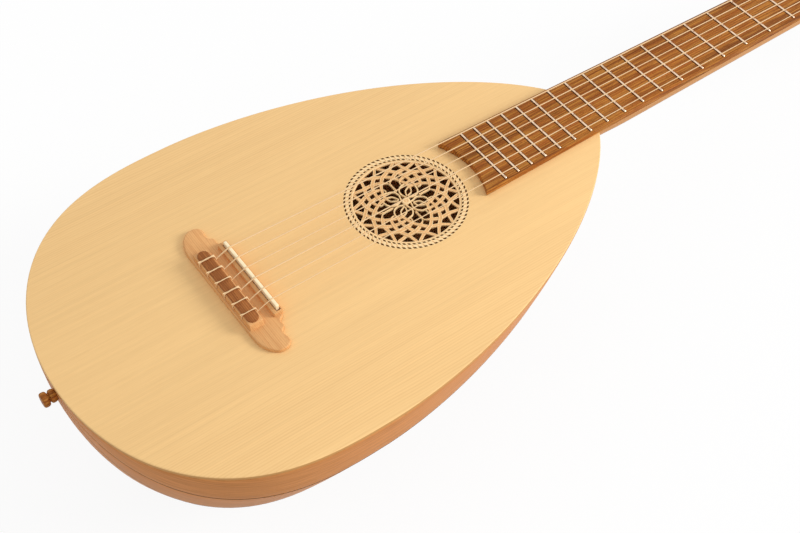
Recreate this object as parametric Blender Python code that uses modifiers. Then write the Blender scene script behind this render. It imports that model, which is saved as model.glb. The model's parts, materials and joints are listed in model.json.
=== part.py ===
"""Lute guitar: a six-string guitar neck on a lute's pear-shaped body with a bowl of bent ribs.

Most pieces are modelled in the saddle frame: x runs from the saddle towards the head, y across the
strings and z up from the face of the soundboard. The headstock's pieces are modelled in the head
frame: u along the head, v across it and n up from its face. Two empties hold these frames.
"""

import math

import bmesh
import bpy
from mathutils import Matrix, Vector

MM = 0.001
GAP = 0.3 * MM              # what touching pieces leave between them
RUNNING_GAP = 0.3 * MM      # what turning pieces leave around them
CUT_PAST = 6 * MM           # how far a cutter runs past what it cuts

# Scale and frets
SCALE_LENGTH = 650 * MM
FRET_COUNT = 19
BODY_FRET = 12
FRET_CROWN_WIDTH = 2.2 * MM
FRET_CROWN_HEIGHT = 1.0 * MM
FRET_INSET = 1.6 * MM

# Body outline, measured from the saddle
BODY_WIDTH = 315.7 * MM
WIDEST_X = 15.4 * MM
TAIL_LENGTH = 161.2 * MM    # saddle to the tail of the body
TIP_PAST_BODY_FRET = 3.7 * MM
TAIL_CURVE = (2.77, 2.03)   # powers of the superellipse behind the widest place
NECK_CURVE = (1.821, 1.541) # and before it
JOINT_BEFORE_BODY_FRET = 9 * MM

# Soundboard and bowl
TOP_THICKNESS = 3.0 * MM
BOWL_DEPTH = 137.6 * MM     # rim to keel at the widest place
KEEL_FALL_TO_NECK = 0.39    # loss of the depth-to-half-width ratio over the neck side
KEEL_RISE_TO_TAIL = 0.146
RIB_COUNT = 11
RIB_THICKNESS = 1.8 * MM
SIDE_RIB_ANGLE = math.radians(14.0)
RIB_END_HALF_WIDTH = 10.5 * MM
RIB_STATIONS = 18

# Bars and blocks inside
BARS_BEHIND_BRIDGE = (71 * MM, 19 * MM)
BAR_PAST_ROSETTE = 14.3 * MM
BAR_BEFORE_NECK_BLOCK = 16 * MM
BAR_WIDTH = 6 * MM
BAR_HEIGHT = 14 * MM
NECK_BLOCK_LENGTH = 50 * MM
TAIL_BLOCK_LENGTH = 16 * MM
TAIL_BLOCK_WIDTH = 70 * MM
TAIL_BLOCK_DEPTH = 42 * MM
GLUE_ROOM = 0.7 * MM        # left around what is trimmed to the bowl's inside

# Rosette
ROSETTE_BEFORE_BOARD = 11.5 * MM  # its edge to the end of the fingerboard
ROSETTE_RADIUS = 43.2 * MM
ROSETTE_THICKNESS = 2.4 * MM
ROSETTE_DROP = 0.2 * MM
LATTICE_RADIUS = 43.2       # the radius, in millimetres, that the lattice's places are given for

# Bridge
BRIDGE_LENGTH = 134 * MM
BRIDGE_BACK_X = -27.0 * MM
BRIDGE_FRONT_X = 3.4 * MM
BRIDGE_BODY_LENGTH = 80 * MM
WING_HEIGHT = 3.6 * MM
TIE_BLOCK_BACK_X = -25.4 * MM
TIE_BLOCK_FRONT_X = -14.0 * MM
TIE_BLOCK_HEIGHT = 9.0 * MM
TIE_HOLE_HEIGHT = 5.4 * MM
TIE_HOLE_RADIUS = 0.95 * MM
INLAY_WIDTH = 9.4 * MM
INLAY_END_ROOM = 1 * MM     # tie block end to inlay end
INLAY_THICKNESS = 0.8 * MM
RIDGE_BACK_X = -5.0 * MM
RIDGE_HEIGHT = 7.4 * MM
SADDLE_THICKNESS = 3.0 * MM
SADDLE_END_ROOM = 3 * MM    # ridge end to saddle end
SADDLE_ABOVE_RIDGE = 3.4 * MM
SADDLE_SLOT_DEPTH = 3.4 * MM

# Fingerboard, neck and nut
FINGERBOARD_THICKNESS = 5.0 * MM
FINGERBOARD_NUT_WIDTH = 48.5 * MM
FINGERBOARD_BODY_WIDTH = 59.5 * MM  # at the 12th fret
FINGERBOARD_END_PAST_FRET = 21 * MM
FINGERBOARD_END_HOLLOW = 8 * MM
HEEL_SHARE = 0.1            # share of the neck over which the heel runs out
NECK_DEPTH_AT_NUT = 16 * MM
NUT_THICKNESS = 5 * MM
NUT_ABOVE_FINGERBOARD = 1.7 * MM

# Strings, from the lowest to the highest
STRING_DIAMETERS = tuple(d * MM for d in (1.05, 0.9, 0.76, 1.0, 0.82, 0.72))
STRING_SPREAD_AT_SADDLE = 59 * MM
STRING_FROM_NUT_END = 3.25 * MM
WINDING_TURNS = 2
WINDING_STEPS = 24
WINDING_SIDE_GAP = 0.5 * MM
WINDING_FROM_BAR = 4.0 * MM     # the middle strings' first turn to the centre bar
WINDING_FROM_CHEEK = 2.1 * MM   # the outer strings' last turn to the slot's outer side
TIE_ASIDE = 2.6 * MM            # a string's tucked end to its hole

# Headstock
HEAD_ANGLE = math.radians(14)
HEAD_PAST_SLOTS = 46 * MM
HEAD_THICKNESS = 18 * MM
HEAD_WIDTH = 66 * MM
HEAD_SHOULDER = 26 * MM
HEAD_CROWN = 16 * MM
SLOT_BEFORE_ROLLERS = 25 * MM
SLOT_PAST_ROLLERS = 22 * MM
SLOT_WIDTH = 16 * MM
CENTRE_BAR_WIDTH = 14 * MM

# Machine heads
FIRST_ROLLER = 50 * MM
ROLLER_SPACING = 35 * MM
ROLLER_RADIUS = 4.9 * MM
ROLLER_SEAT = 3.5 * MM
AXLE_RADIUS = 2.4 * MM
PLATE_THICKNESS = 1.2 * MM
PLATE_HEIGHT = 14 * MM
PLATE_OVERHANG = 13 * MM
GEAR_TEETH = 14
GEAR_MODULE = 0.75 * MM
GEAR_THICKNESS = 3.4 * MM
WORM_RADIUS = 3.3 * MM
WORM_CORE_RADIUS = 1.6 * MM
WORM_TURNS = 3
WORM_STEPS = 10
EAR_THICKNESS = 1.3 * MM
EAR_LENGTH = 5.6 * MM
KNOB_LENGTH = 18 * MM
KNOB_WIDTH = 16 * MM
KNOB_THICKNESS = 8.6 * MM
KNOB_CLEARANCE = 6 * MM

# End button
BUTTON_DROP = 9.5 * MM
BUTTON_STEM_RADIUS = 2.6 * MM
BUTTON_BASE_RADIUS = 5.1 * MM
BUTTON_GROOVE_RADIUS = 3.6 * MM
BUTTON_KNOB_RADIUS = 5.8 * MM
BUTTON_LENGTH = 10.5 * MM

# Colours: red, green, blue, roughness, metallic
SPRUCE = (0.86, 0.66, 0.38, 0.5, 0.0)
CHERRY = (0.62, 0.33, 0.16, 0.42, 0.0)
MAPLE = (0.72, 0.47, 0.27, 0.45, 0.0)
LIME_WOOD = (0.78, 0.62, 0.42, 0.6, 0.0)
WALNUT = (0.30, 0.15, 0.07, 0.45, 0.0)
PEAR = (0.66, 0.41, 0.25, 0.45, 0.0)
BONE = (0.88, 0.82, 0.66, 0.35, 0.0)
NYLON = (0.90, 0.84, 0.70, 0.3, 0.0)
BRASS = (0.78, 0.60, 0.30, 0.28, 1.0)
STEEL = (0.72, 0.71, 0.69, 0.3, 1.0)

# Places that follow from the sizes above
HALF_WIDTH = BODY_WIDTH / 2
NECK_TIP_X = SCALE_LENGTH / 2 + TIP_PAST_BODY_FRET
JOINT_X = SCALE_LENGTH / 2 - JOINT_BEFORE_BODY_FRET
BOARD_END_X = SCALE_LENGTH / 2 ** (FRET_COUNT / 12) - FINGERBOARD_END_PAST_FRET
ROSETTE_X = BOARD_END_X - ROSETTE_BEFORE_BOARD - ROSETTE_RADIUS
BAR_PLACES = (
    *(BRIDGE_BACK_X - behind for behind in BARS_BEHIND_BRIDGE),
    ROSETTE_X - ROSETTE_RADIUS - BAR_PAST_ROSETTE,
    ROSETTE_X + ROSETTE_RADIUS + BAR_PAST_ROSETTE,
    JOINT_X - NECK_BLOCK_LENGTH - BAR_BEFORE_NECK_BLOCK,
)
INLAY_LENGTH = BRIDGE_BODY_LENGTH - 2 * INLAY_END_ROOM
SADDLE_LENGTH = BRIDGE_BODY_LENGTH - 2 * SADDLE_END_ROOM
SADDLE_HEIGHT = RIDGE_HEIGHT + SADDLE_ABOVE_RIDGE
STRING_SPREAD_AT_NUT = FINGERBOARD_NUT_WIDTH - 2 * STRING_FROM_NUT_END
RIM_Z = -TOP_THICKNESS - GAP
FINGERBOARD_TOP = GAP + FINGERBOARD_THICKNESS
NUT_TOP = FINGERBOARD_TOP + NUT_ABOVE_FINGERBOARD
HEAD_X = SCALE_LENGTH + NUT_THICKNESS + 2 * GAP
ROLLER_DEPTH = -HEAD_THICKNESS / 2
HEAD_SIDE = HEAD_WIDTH / 2
SLOT_START = FIRST_ROLLER - SLOT_BEFORE_ROLLERS
SLOT_END = FIRST_ROLLER + 2 * ROLLER_SPACING + SLOT_PAST_ROLLERS
HEAD_LENGTH = SLOT_END + HEAD_PAST_SLOTS
WIDEST_WINDING = WINDING_TURNS * (max(STRING_DIAMETERS) + WINDING_SIDE_GAP)
WINDING_SHIFT = (SLOT_WIDTH - WINDING_FROM_BAR - WINDING_FROM_CHEEK - WIDEST_WINDING) / 2
GEAR_PITCH_RADIUS = GEAR_TEETH * GEAR_MODULE / 2
GEAR_MIDDLE = HEAD_SIDE + GAP + PLATE_THICKNESS + RUNNING_GAP + WORM_RADIUS
GEAR_SIDE = GEAR_MIDDLE - GEAR_THICKNESS / 2
THREAD_PITCH = math.pi * GEAR_MODULE
WORM_OFFSET = GEAR_PITCH_RADIUS + WORM_RADIUS - GEAR_MODULE
EAR_PLACE = (WORM_TURNS * THREAD_PITCH + EAR_THICKNESS) / 2 + THREAD_PITCH / 4 + RUNNING_GAP


for old in list(bpy.data.objects):
    bpy.data.objects.remove(old, do_unlink=True)

parts = bpy.data.collections.new("lute_guitar")
cutters = bpy.data.collections.new("cutters")
for collection in (parts, cutters):
    bpy.context.scene.collection.children.link(collection)


def fret_x(number):
    """Place of a fret, measured from the saddle."""
    return SCALE_LENGTH / 2 ** (number / 12)


def material(name, finish):
    """A plain Principled material, made once for each finish."""
    if name in bpy.data.materials:
        return bpy.data.materials[name]
    made = bpy.data.materials.new(name)
    made.use_nodes = True
    shader = made.node_tree.nodes["Principled BSDF"]
    shader.inputs["Base Color"].default_value = (*finish[:3], 1)
    shader.inputs["Roughness"].default_value = finish[3]
    shader.inputs["Metallic"].default_value = finish[4]
    return made


def add_object(name, data, finish=None, parent=None, collection=parts):
    """Put a mesh or curve in the scene under its frame."""
    made = bpy.data.objects.new(name, data)
    collection.objects.link(made)
    made.parent = parent
    if finish:
        data.materials.clear()
        data.materials.append(material(finish[0], finish[1]))
    if collection is cutters:
        made.hide_render = True
        made.display_type = "WIRE"
    return made


def add_frame(name, location, rotation=(0, 0, 0), parent=None):
    """An empty that holds a frame of its own."""
    frame = add_object(name, None, parent=parent)
    frame.location = location
    frame.rotation_euler = rotation
    return frame


def mesh_from(bm, name):
    """Finish a bmesh as a mesh whose faces point out."""
    bmesh.ops.recalc_face_normals(bm, faces=bm.faces)
    mesh = bpy.data.meshes.new(name)
    bm.to_mesh(mesh)
    bm.free()
    return mesh


def smooth(mesh, angle=35):
    """Shade a round piece smooth and keep its corners sharp."""
    mesh.shade_smooth()
    mesh.set_sharp_from_angle(angle=math.radians(angle))
    return mesh


def box_mesh(name, low, high):
    """A box between two corners."""
    bm = bmesh.new()
    bmesh.ops.create_cube(bm, size=1)
    low, high = Vector(low), Vector(high)
    bmesh.ops.scale(bm, vec=high - low, verts=bm.verts)
    bmesh.ops.translate(bm, vec=(low + high) / 2, verts=bm.verts)
    return mesh_from(bm, name)


def cylinder_mesh(name, radius, start, end, sides=16):
    """A cylinder between two points."""
    start, end = Vector(start), Vector(end)
    along = end - start
    bm = bmesh.new()
    bmesh.ops.create_cone(
        bm, cap_ends=True, segments=sides, radius1=radius, radius2=radius, depth=along.length
    )
    turn = along.to_track_quat("Z", "Y").to_matrix().to_4x4()
    bm.transform(Matrix.Translation((start + end) / 2) @ turn)
    return mesh_from(bm, name)


def loft_mesh(name, rings):
    """A closed skin over rings of equal count, capped at both ends."""
    bm = bmesh.new()
    rows = [[bm.verts.new(point) for point in ring] for ring in rings]
    count = len(rows[0])
    for near, far in zip(rows, rows[1:]):
        for k in range(count):
            bm.faces.new((near[k], near[(k + 1) % count], far[(k + 1) % count], far[k]))
    bm.faces.new(rows[0])
    bm.faces.new(rows[-1])
    return mesh_from(bm, name)


def turned_mesh(name, profile, steps=16):
    """A turned piece about local z: its profile is radius and height, from top to bottom."""
    bm = bmesh.new()
    verts = [bm.verts.new((radius, 0, height)) for radius, height in profile]
    for a, b in zip(verts, verts[1:]):
        bm.edges.new((a, b))
    mesh = bpy.data.meshes.new(name)
    bm.to_mesh(mesh)
    bm.free()
    turned = bpy.data.objects.new(name, mesh)
    cutters.objects.link(turned)
    screw = turned.modifiers.new("turn", "SCREW")
    screw.steps = steps
    screw.render_steps = steps
    screw.use_merge_vertices = True
    screw.merge_threshold = 0.00001
    return baked(turned, name)


def outline_mesh(name, outlines, low, high):
    """A flat outline, with holes if it has more than one loop, made solid from low to high in z."""
    curve = bpy.data.curves.new(name, "CURVE")
    curve.dimensions = "2D"
    curve.fill_mode = "BOTH"
    curve.extrude = (high - low) / 2
    for outline in outlines:
        spline = curve.splines.new("POLY")
        spline.points.add(len(outline) - 1)
        for point, place in zip(spline.points, outline):
            point.co = (place[0], place[1], 0, 1)
        spline.use_cyclic_u = True
    flat = bpy.data.objects.new(name, curve)
    cutters.objects.link(flat)
    mesh = baked(flat, name)
    mesh.transform(Matrix.Translation((0, 0, (low + high) / 2)))
    return mesh


def tube_mesh(name, points, diameter, sides=6):
    """A round tube along points."""
    curve = bpy.data.curves.new(name, "CURVE")
    curve.dimensions = "3D"
    curve.bevel_depth = diameter / 2
    curve.bevel_resolution = (sides - 4) // 2
    curve.use_fill_caps = True
    spline = curve.splines.new("POLY")
    spline.points.add(len(points) - 1)
    for point, place in zip(spline.points, points):
        point.co = (*place, 1)
    tube = bpy.data.objects.new(name, curve)
    cutters.objects.link(tube)
    return baked(tube, name)


def baked(thing, name):
    """The evaluated mesh of an object, welded, with the object taken away."""
    graph = bpy.context.evaluated_depsgraph_get()
    mesh = bpy.data.meshes.new_from_object(thing.evaluated_get(graph))
    data = thing.data
    bpy.data.objects.remove(thing, do_unlink=True)
    if isinstance(data, bpy.types.Curve):
        bpy.data.curves.remove(data)
    bm = bmesh.new()
    bm.from_mesh(mesh)
    bmesh.ops.remove_doubles(bm, verts=bm.verts, dist=0.000005)
    bmesh.ops.recalc_face_normals(bm, faces=bm.faces)
    bm.to_mesh(mesh)
    bm.free()
    mesh.name = name
    return mesh


def boolean_mesh(mesh, others, operation):
    """Cut, join or intersect a mesh with others, one after the other."""
    body = bpy.data.objects.new("boolean_body", mesh)
    cutters.objects.link(body)
    tools = []
    for other in others:
        tool = bpy.data.objects.new("boolean_tool", other)
        cutters.objects.link(tool)
        tools.append(tool)
        step = body.modifiers.new(operation, "BOOLEAN")
        step.operation = operation
        step.object = tool
    bpy.context.view_layer.update()
    made = baked(body, mesh.name)
    for tool in tools:
        bpy.data.objects.remove(tool, do_unlink=True)
    return made


def joined_mesh(name, meshes):
    """Several separate closed meshes as one, for use as a cutter."""
    bm = bmesh.new()
    for mesh in meshes:
        bm.from_mesh(mesh)
    return mesh_from(bm, name)


# Body shape

def body_curve(angle, inset=0.0):
    """Place along the body and half width there, for an angle from -90 at the tail to 90 at the neck."""
    if angle < 0:
        length, sign, powers = TAIL_LENGTH + WIDEST_X - inset, -1, TAIL_CURVE
    else:
        length, sign, powers = NECK_TIP_X - WIDEST_X - inset, 1, NECK_CURVE
    along = abs(math.sin(angle)) ** (2 / powers[0])
    across = max(math.cos(angle), 0.0) ** (2 / powers[1])
    return WIDEST_X + sign * length * along, (HALF_WIDTH - inset) * across


def angle_at_x(x):
    """The angle of body_curve on the neck side that lies at a place along the body."""
    share = (x - WIDEST_X) / (NECK_TIP_X - WIDEST_X)
    return math.asin(share ** (NECK_CURVE[0] / 2))


def angle_at_half_width(half_width):
    """The angle of body_curve on the tail side where the body is that wide."""
    return -math.acos((half_width / HALF_WIDTH) ** (TAIL_CURVE[1] / 2))


def keel_ratio(x):
    """Depth of the bowl's section over its half width."""
    ratio = BOWL_DEPTH / HALF_WIDTH
    if x > WIDEST_X:
        return ratio - KEEL_FALL_TO_NECK * (x - WIDEST_X) / (NECK_TIP_X - WIDEST_X)
    return ratio + KEEL_RISE_TO_TAIL * (WIDEST_X - x) / (TAIL_LENGTH + WIDEST_X)


def bowl_point(angle, turn, inset=0.0, aside=0.0):
    """A point of the bowl: turn goes from 0 at the left rim to pi at the right rim, under the keel."""
    x, half_width = body_curve(angle, inset)
    ratio = keel_ratio(body_curve(angle)[0])
    radius = half_width / math.hypot(math.cos(turn), math.sin(turn) / ratio)
    y = radius * math.cos(turn) - aside * math.sin(turn)
    z = RIM_Z - radius * math.sin(turn) - aside * math.cos(turn)
    return Vector((x, y, min(z, RIM_Z)))


def body_outline(inset=0.0, end_x=JOINT_X, steps=26):
    """The body's outline seen from above, cut square at the neck joint."""
    last = angle_at_x(JOINT_X)
    half = []
    for k in range(steps + 1):
        angle = -math.pi / 2 + (last + math.pi / 2) * k / steps
        half.append(body_curve(angle, inset))
    half[-1] = (end_x, half[-1][1])
    other = [(x, -y) for x, y in reversed(half) if y > 0.1 * MM]
    return half + other


HEEL_HALF_WIDTH = body_curve(angle_at_x(JOINT_X))[1]
HEEL_DEPTH = -RIM_Z + keel_ratio(JOINT_X) * HEEL_HALF_WIDTH
FIRST_STATION = angle_at_half_width(RIB_END_HALF_WIDTH)
LAST_STATION = angle_at_x(JOINT_X)


def stations(count=RIB_STATIONS):
    """Angles along the bowl, from where the ribs start at the tail to the neck joint."""
    return [FIRST_STATION + (LAST_STATION - FIRST_STATION) * k / count for k in range(count + 1)]


def rib_edges():
    """The turns at which one rib ends and the next starts."""
    inner = RIB_COUNT - 2
    step = (math.pi - 2 * SIDE_RIB_ANGLE) / inner
    return [0.0] + [SIDE_RIB_ANGLE + step * k for k in range(inner + 1)] + [math.pi]


def keel_depth():
    """The lowest point of the flat keel rib, which the guitar lies on."""
    edges = rib_edges()
    edge = edges[len(edges) // 2 - 1]
    return min(bowl_point(angle, edge).z for angle in stations())


# Frames

def head_point(u, v, n):
    """A point of the head frame in the saddle frame."""
    sine, cosine = math.sin(HEAD_ANGLE), math.cos(HEAD_ANGLE)
    return Vector((HEAD_X + u * cosine + n * sine, v, n * cosine - u * sine))


MIDDLE_X = (head_point(HEAD_LENGTH, 0, 0).x - TAIL_LENGTH - GAP - BUTTON_LENGTH) / 2
saddle_frame = add_frame("saddle_frame", (-MIDDLE_X, 0, -keel_depth()))
head_frame = add_frame("head_frame", (HEAD_X, 0, 0), (0, HEAD_ANGLE, 0), saddle_frame)


# Soundboard and rosette

def make_soundboard():
    """The top, with its round hole for the rosette."""
    hole_radius = ROSETTE_RADIUS + GAP
    hole = circle_points(ROSETTE_X, 0, hole_radius, 48)
    mesh = outline_mesh("soundboard", [body_outline(), hole], -TOP_THICKNESS, 0)
    add_object("soundboard", mesh, ("spruce", SPRUCE), saddle_frame)


def circle_points(x, y, radius, count, start=0.0):
    """Points round a circle."""
    turns = [start + 2 * math.pi * k / count for k in range(count)]
    return [(x + radius * math.cos(t), y + radius * math.sin(t)) for t in turns]


def polar(radius, degrees):
    """A point of the rosette from its radius in millimetres and its angle."""
    turn = math.radians(degrees)
    scale = ROSETTE_RADIUS / LATTICE_RADIUS
    return (ROSETTE_X + radius * scale * math.cos(turn), radius * scale * math.sin(turn))


def rosette_openings():
    """Outlines of the lattice's openings: rings of sixteen, with four knots in the middle."""
    sector = 360 / 16
    openings = []
    for k in range(16):
        middle = sector * k
        between = middle + sector / 2
        openings.append([polar(39.6, middle), polar(34.6, middle - 4.8), polar(34.6, middle + 4.8)])
        rim = [polar(40.6, between + side) for side in (-4.9, 0, 4.9)]
        openings.append(rim + [polar(37.4, between + 2.2), polar(37.4, between - 2.2)])
        openings.append(diamond(30.8, between, 1.9, 1.3))
        openings.append(diamond(26.9, middle, 2.0, 1.9))
    for quarter in range(4):
        axis = 90 * quarter
        for side in (-1, 1):
            petal = [(14.2, 5), (18.5, 20), (22.0, 17), (24.4, 11), (22.0, 5.4), (19.0, 4.2)]
            openings.append([polar(radius, axis + side * turn) for radius, turn in petal])
            openings.append(diamond(22.4, axis + 45 + side * 11.2, 1.7, 1.4))
            leaf = [(8.0, 71), (12.1, 74), (14.9, 66), (16.3, 56.5), (13.4, 60), (9.8, 62)]
            openings.append([polar(radius, axis + 45 + side * (turn - 45)) for radius, turn in leaf])
        openings.append(diamond(17.8, axis + 45, 1.2, 1.2))
        openings.append(diamond(10.4, axis + 45, 0.9, 2.4))
        openings.append([polar(3.6, axis), polar(6.4, axis - 14), polar(7.6, axis), polar(6.4, axis + 14)])
    return openings


def diamond(radius, degrees, half_across, half_along):
    """A four-cornered opening of the lattice, its size in millimetres."""
    turn = math.degrees(half_across / radius)
    return [
        polar(radius + half_along, degrees),
        polar(radius, degrees + turn),
        polar(radius - half_along, degrees),
        polar(radius, degrees - turn),
    ]


def make_rosette():
    """The lattice disc, let into the soundboard."""
    rim = circle_points(ROSETTE_X, 0, ROSETTE_RADIUS, 48)
    low, high = -ROSETTE_THICKNESS - ROSETTE_DROP, -ROSETTE_DROP
    mesh = outline_mesh("rosette", [rim, *rosette_openings()], low, high)
    add_object("rosette", mesh, ("maple", MAPLE), saddle_frame)


# Bowl

def make_ribs():
    """The bent ribs, each flat across, side by side round the bowl."""
    edges = rib_edges()
    for number, (first, last) in enumerate(zip(edges, edges[1:]), 1):
        rings = []
        for angle in stations():
            rings.append([
                bowl_point(angle, first, RIB_THICKNESS, GAP / 2),
                bowl_point(angle, last, RIB_THICKNESS, -GAP / 2),
                bowl_point(angle, last, 0, -GAP / 2),
                bowl_point(angle, first, 0, GAP / 2),
            ])
        name = f"rib_{number:02d}"
        add_object(name, loft_mesh(name, rings), ("cherry", CHERRY), saddle_frame)


def bowl_inside():
    """The space inside the ribs, which trims the blocks and bars."""
    edges = rib_edges()
    inset = RIB_THICKNESS + GLUE_ROOM
    rings = []
    for angle in stations():
        rings.append([bowl_point(angle, turn, inset) for turn in edges])
    return loft_mesh("bowl_inside", rings)


def make_inside():
    """The neck block, the tail block and the bars under the soundboard."""
    top = RIM_Z - GAP
    for number, x in enumerate(BAR_PLACES, 1):
        low = (x - BAR_WIDTH / 2, -HALF_WIDTH, top - BAR_HEIGHT)
        high = (x + BAR_WIDTH / 2, HALF_WIDTH, top)
        name = f"top_bar_{number}"
        mesh = boolean_mesh(box_mesh(name, low, high), [bowl_inside()], "INTERSECT")
        add_object(name, mesh, ("lime_wood", LIME_WOOD), saddle_frame)
    low = (JOINT_X - NECK_BLOCK_LENGTH, -HALF_WIDTH, RIM_Z - HALF_WIDTH)
    high = (JOINT_X + CUT_PAST, HALF_WIDTH, top)
    mesh = boolean_mesh(box_mesh("neck_block", low, high), [bowl_inside()], "INTERSECT")
    add_object("neck_block", mesh, ("lime_wood", LIME_WOOD), saddle_frame)
    make_tail_block(top)


def make_tail_block(top):
    """The block at the tail, with a boss that closes the ribs' end and a hole for the end button."""
    low = (-TAIL_LENGTH - CUT_PAST, -TAIL_BLOCK_WIDTH / 2, RIM_Z - TAIL_BLOCK_DEPTH)
    high = (-TAIL_LENGTH + TAIL_BLOCK_LENGTH, TAIL_BLOCK_WIDTH / 2, top)
    block = boolean_mesh(box_mesh("tail_block", low, high), [bowl_inside()], "INTERSECT")
    boss_x = body_curve(FIRST_STATION)[0]
    radius = RIB_END_HALF_WIDTH - RIB_THICKNESS - GLUE_ROOM
    turns = [math.pi * k / 12 for k in range(13)]
    half_disc = [(radius * math.cos(t), RIM_Z - GAP - radius * math.sin(t)) for t in turns]
    inner_x = high[0] - TAIL_BLOCK_LENGTH / 2
    rings = [[(x, y, z) for y, z in half_disc] for x in (boss_x, inner_x)]
    block = boolean_mesh(block, [loft_mesh("tail_boss", rings)], "UNION")
    hole = cylinder_mesh(
        "button_hole", BUTTON_STEM_RADIUS + GAP,
        (-TAIL_LENGTH - CUT_PAST, 0, -BUTTON_DROP), (high[0] + CUT_PAST, 0, -BUTTON_DROP),
    )
    mesh = boolean_mesh(block, [hole], "DIFFERENCE")
    add_object("tail_block", mesh, ("lime_wood", LIME_WOOD), saddle_frame)


def make_end_button():
    """The turned button at the tail, whose stem goes through the tail block."""
    base, groove, knob = BUTTON_BASE_RADIUS, BUTTON_GROOVE_RADIUS, BUTTON_KNOB_RADIUS
    length = BUTTON_LENGTH
    profile = [
        (0, length), (0.72 * knob, length), (0.93 * knob, 0.94 * length), (knob, 0.82 * length),
        (knob, 0.66 * length), (0.92 * knob, 0.56 * length), (groove, 0.50 * length),
        (groove, 0.44 * length), (0.93 * base, 0.38 * length), (base, 0.28 * length),
        (base, 0.08 * length), (0.95 * base, 0), (BUTTON_STEM_RADIUS, 0),
        (BUTTON_STEM_RADIUS, -TAIL_BLOCK_LENGTH), (0, -TAIL_BLOCK_LENGTH),
    ]
    mesh = smooth(turned_mesh("end_button", profile, 16))
    button = add_object("end_button", mesh, ("walnut", WALNUT), saddle_frame)
    button.location = (-TAIL_LENGTH - GAP, 0, -BUTTON_DROP)
    button.rotation_euler = (0, -math.pi / 2, 0)


# Bridge

def string_y(index, spread):
    """Place of a string across the board; the lowest string is on the left, at +y."""
    return spread / 2 - spread * index / (len(STRING_DIAMETERS) - 1)


def wing_outline():
    """The bridge's plan: straight back, stepped front edge and rounded wing ends."""
    body, half = BRIDGE_BODY_LENGTH / 2, BRIDGE_LENGTH / 2
    back, front = BRIDGE_BACK_X, BRIDGE_FRONT_X
    reach = half - body
    depth = front - back
    side = [
        (back, 0.0), (back, body + 0.30 * reach), (back + 0.06 * depth, body + 0.62 * reach),
        (back + 0.22 * depth, body + 0.88 * reach), (back + 0.40 * depth, half),
        (back + 0.58 * depth, body + 0.98 * reach), (back + 0.70 * depth, body + 0.84 * reach),
        (back + 0.72 * depth, body + 0.62 * reach), (back + 0.67 * depth, body + 0.50 * reach),
        (back + 0.81 * depth, body + 0.34 * reach), (back + 0.80 * depth, body + 0.18 * reach),
        (back + 0.90 * depth, body + 0.08 * reach), (front, body - 0.06 * reach), (front, 0.0),
    ]
    return side[1:-1] + [(x, -y) for x, y in reversed(side[1:-1])]


def make_bridge():
    """Bridge with wings, tie block, channel and saddle ridge, all of one piece."""
    base = GAP
    body = BRIDGE_BODY_LENGTH / 2
    mesh = outline_mesh("bridge", [wing_outline()], base, WING_HEIGHT)
    under = base + WING_HEIGHT / 2
    low, high = (TIE_BLOCK_BACK_X, -body, under), (TIE_BLOCK_FRONT_X, body, TIE_BLOCK_HEIGHT)
    block = box_mesh("tie_block", low, high)
    low, high = (RIDGE_BACK_X, -body, under), (BRIDGE_FRONT_X - GAP, body, RIDGE_HEIGHT)
    ridge = box_mesh("ridge", low, high)
    mesh = boolean_mesh(mesh, [block, ridge], "UNION")
    half_slot = SADDLE_THICKNESS / 2 + GAP
    slot_floor = RIDGE_HEIGHT - SADDLE_SLOT_DEPTH
    slot = box_mesh(
        "saddle_slot", (-half_slot, -SADDLE_LENGTH / 2 - GAP, slot_floor),
        (half_slot, SADDLE_LENGTH / 2 + GAP, RIDGE_HEIGHT + SADDLE_HEIGHT),
    )
    holes = []
    for index in range(len(STRING_DIAMETERS)):
        y = string_y(index, STRING_SPREAD_AT_SADDLE)
        start = (TIE_BLOCK_BACK_X - CUT_PAST / 2, y, TIE_HOLE_HEIGHT)
        end = ((TIE_BLOCK_FRONT_X + RIDGE_BACK_X) / 2, y, TIE_HOLE_HEIGHT)
        holes.append(cylinder_mesh("tie_hole", TIE_HOLE_RADIUS, start, end, 8))
    mesh = boolean_mesh(mesh, [slot, joined_mesh("tie_holes", holes)], "DIFFERENCE")
    add_object("bridge", mesh, ("pear", PEAR), saddle_frame)


def make_inlay():
    """The strip with round ends on top of the tie block."""
    middle = (TIE_BLOCK_BACK_X + TIE_BLOCK_FRONT_X) / 2
    radius = INLAY_WIDTH / 2
    straight = INLAY_LENGTH / 2 - radius
    ends = []
    for side in (1, -1):
        for k in range(9):
            turn = math.pi * k / 8
            across = side * (straight + radius * math.sin(turn))
            ends.append((middle + side * radius * math.cos(turn), across))
    low = TIE_BLOCK_HEIGHT + GAP
    mesh = outline_mesh("tie_block_inlay", [ends], low, low + INLAY_THICKNESS)
    add_object("tie_block_inlay", mesh, ("walnut", WALNUT), saddle_frame)


def make_saddle():
    """The bone strip that the strings cross at the bridge, rounded along its top."""
    half, top = SADDLE_THICKNESS / 2, SADDLE_HEIGHT
    floor = RIDGE_HEIGHT - SADDLE_SLOT_DEPTH + GAP
    shoulder = top - half / 2
    right = [(half, floor), (half, shoulder), (half / 2, top)]
    section = right + [(-x, z) for x, z in reversed(right)]
    rings = [[(x, y, z) for x, z in section] for y in (-SADDLE_LENGTH / 2, SADDLE_LENGTH / 2)]
    add_object("saddle", loft_mesh("saddle", rings), ("bone", BONE), saddle_frame)


# Neck

def board_half_width(x):
    """Half width of the fingerboard at a place along the strings."""
    slope = (FINGERBOARD_BODY_WIDTH - FINGERBOARD_NUT_WIDTH) / (SCALE_LENGTH - fret_x(BODY_FRET))
    return (FINGERBOARD_NUT_WIDTH + slope * (SCALE_LENGTH - x)) / 2


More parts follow.
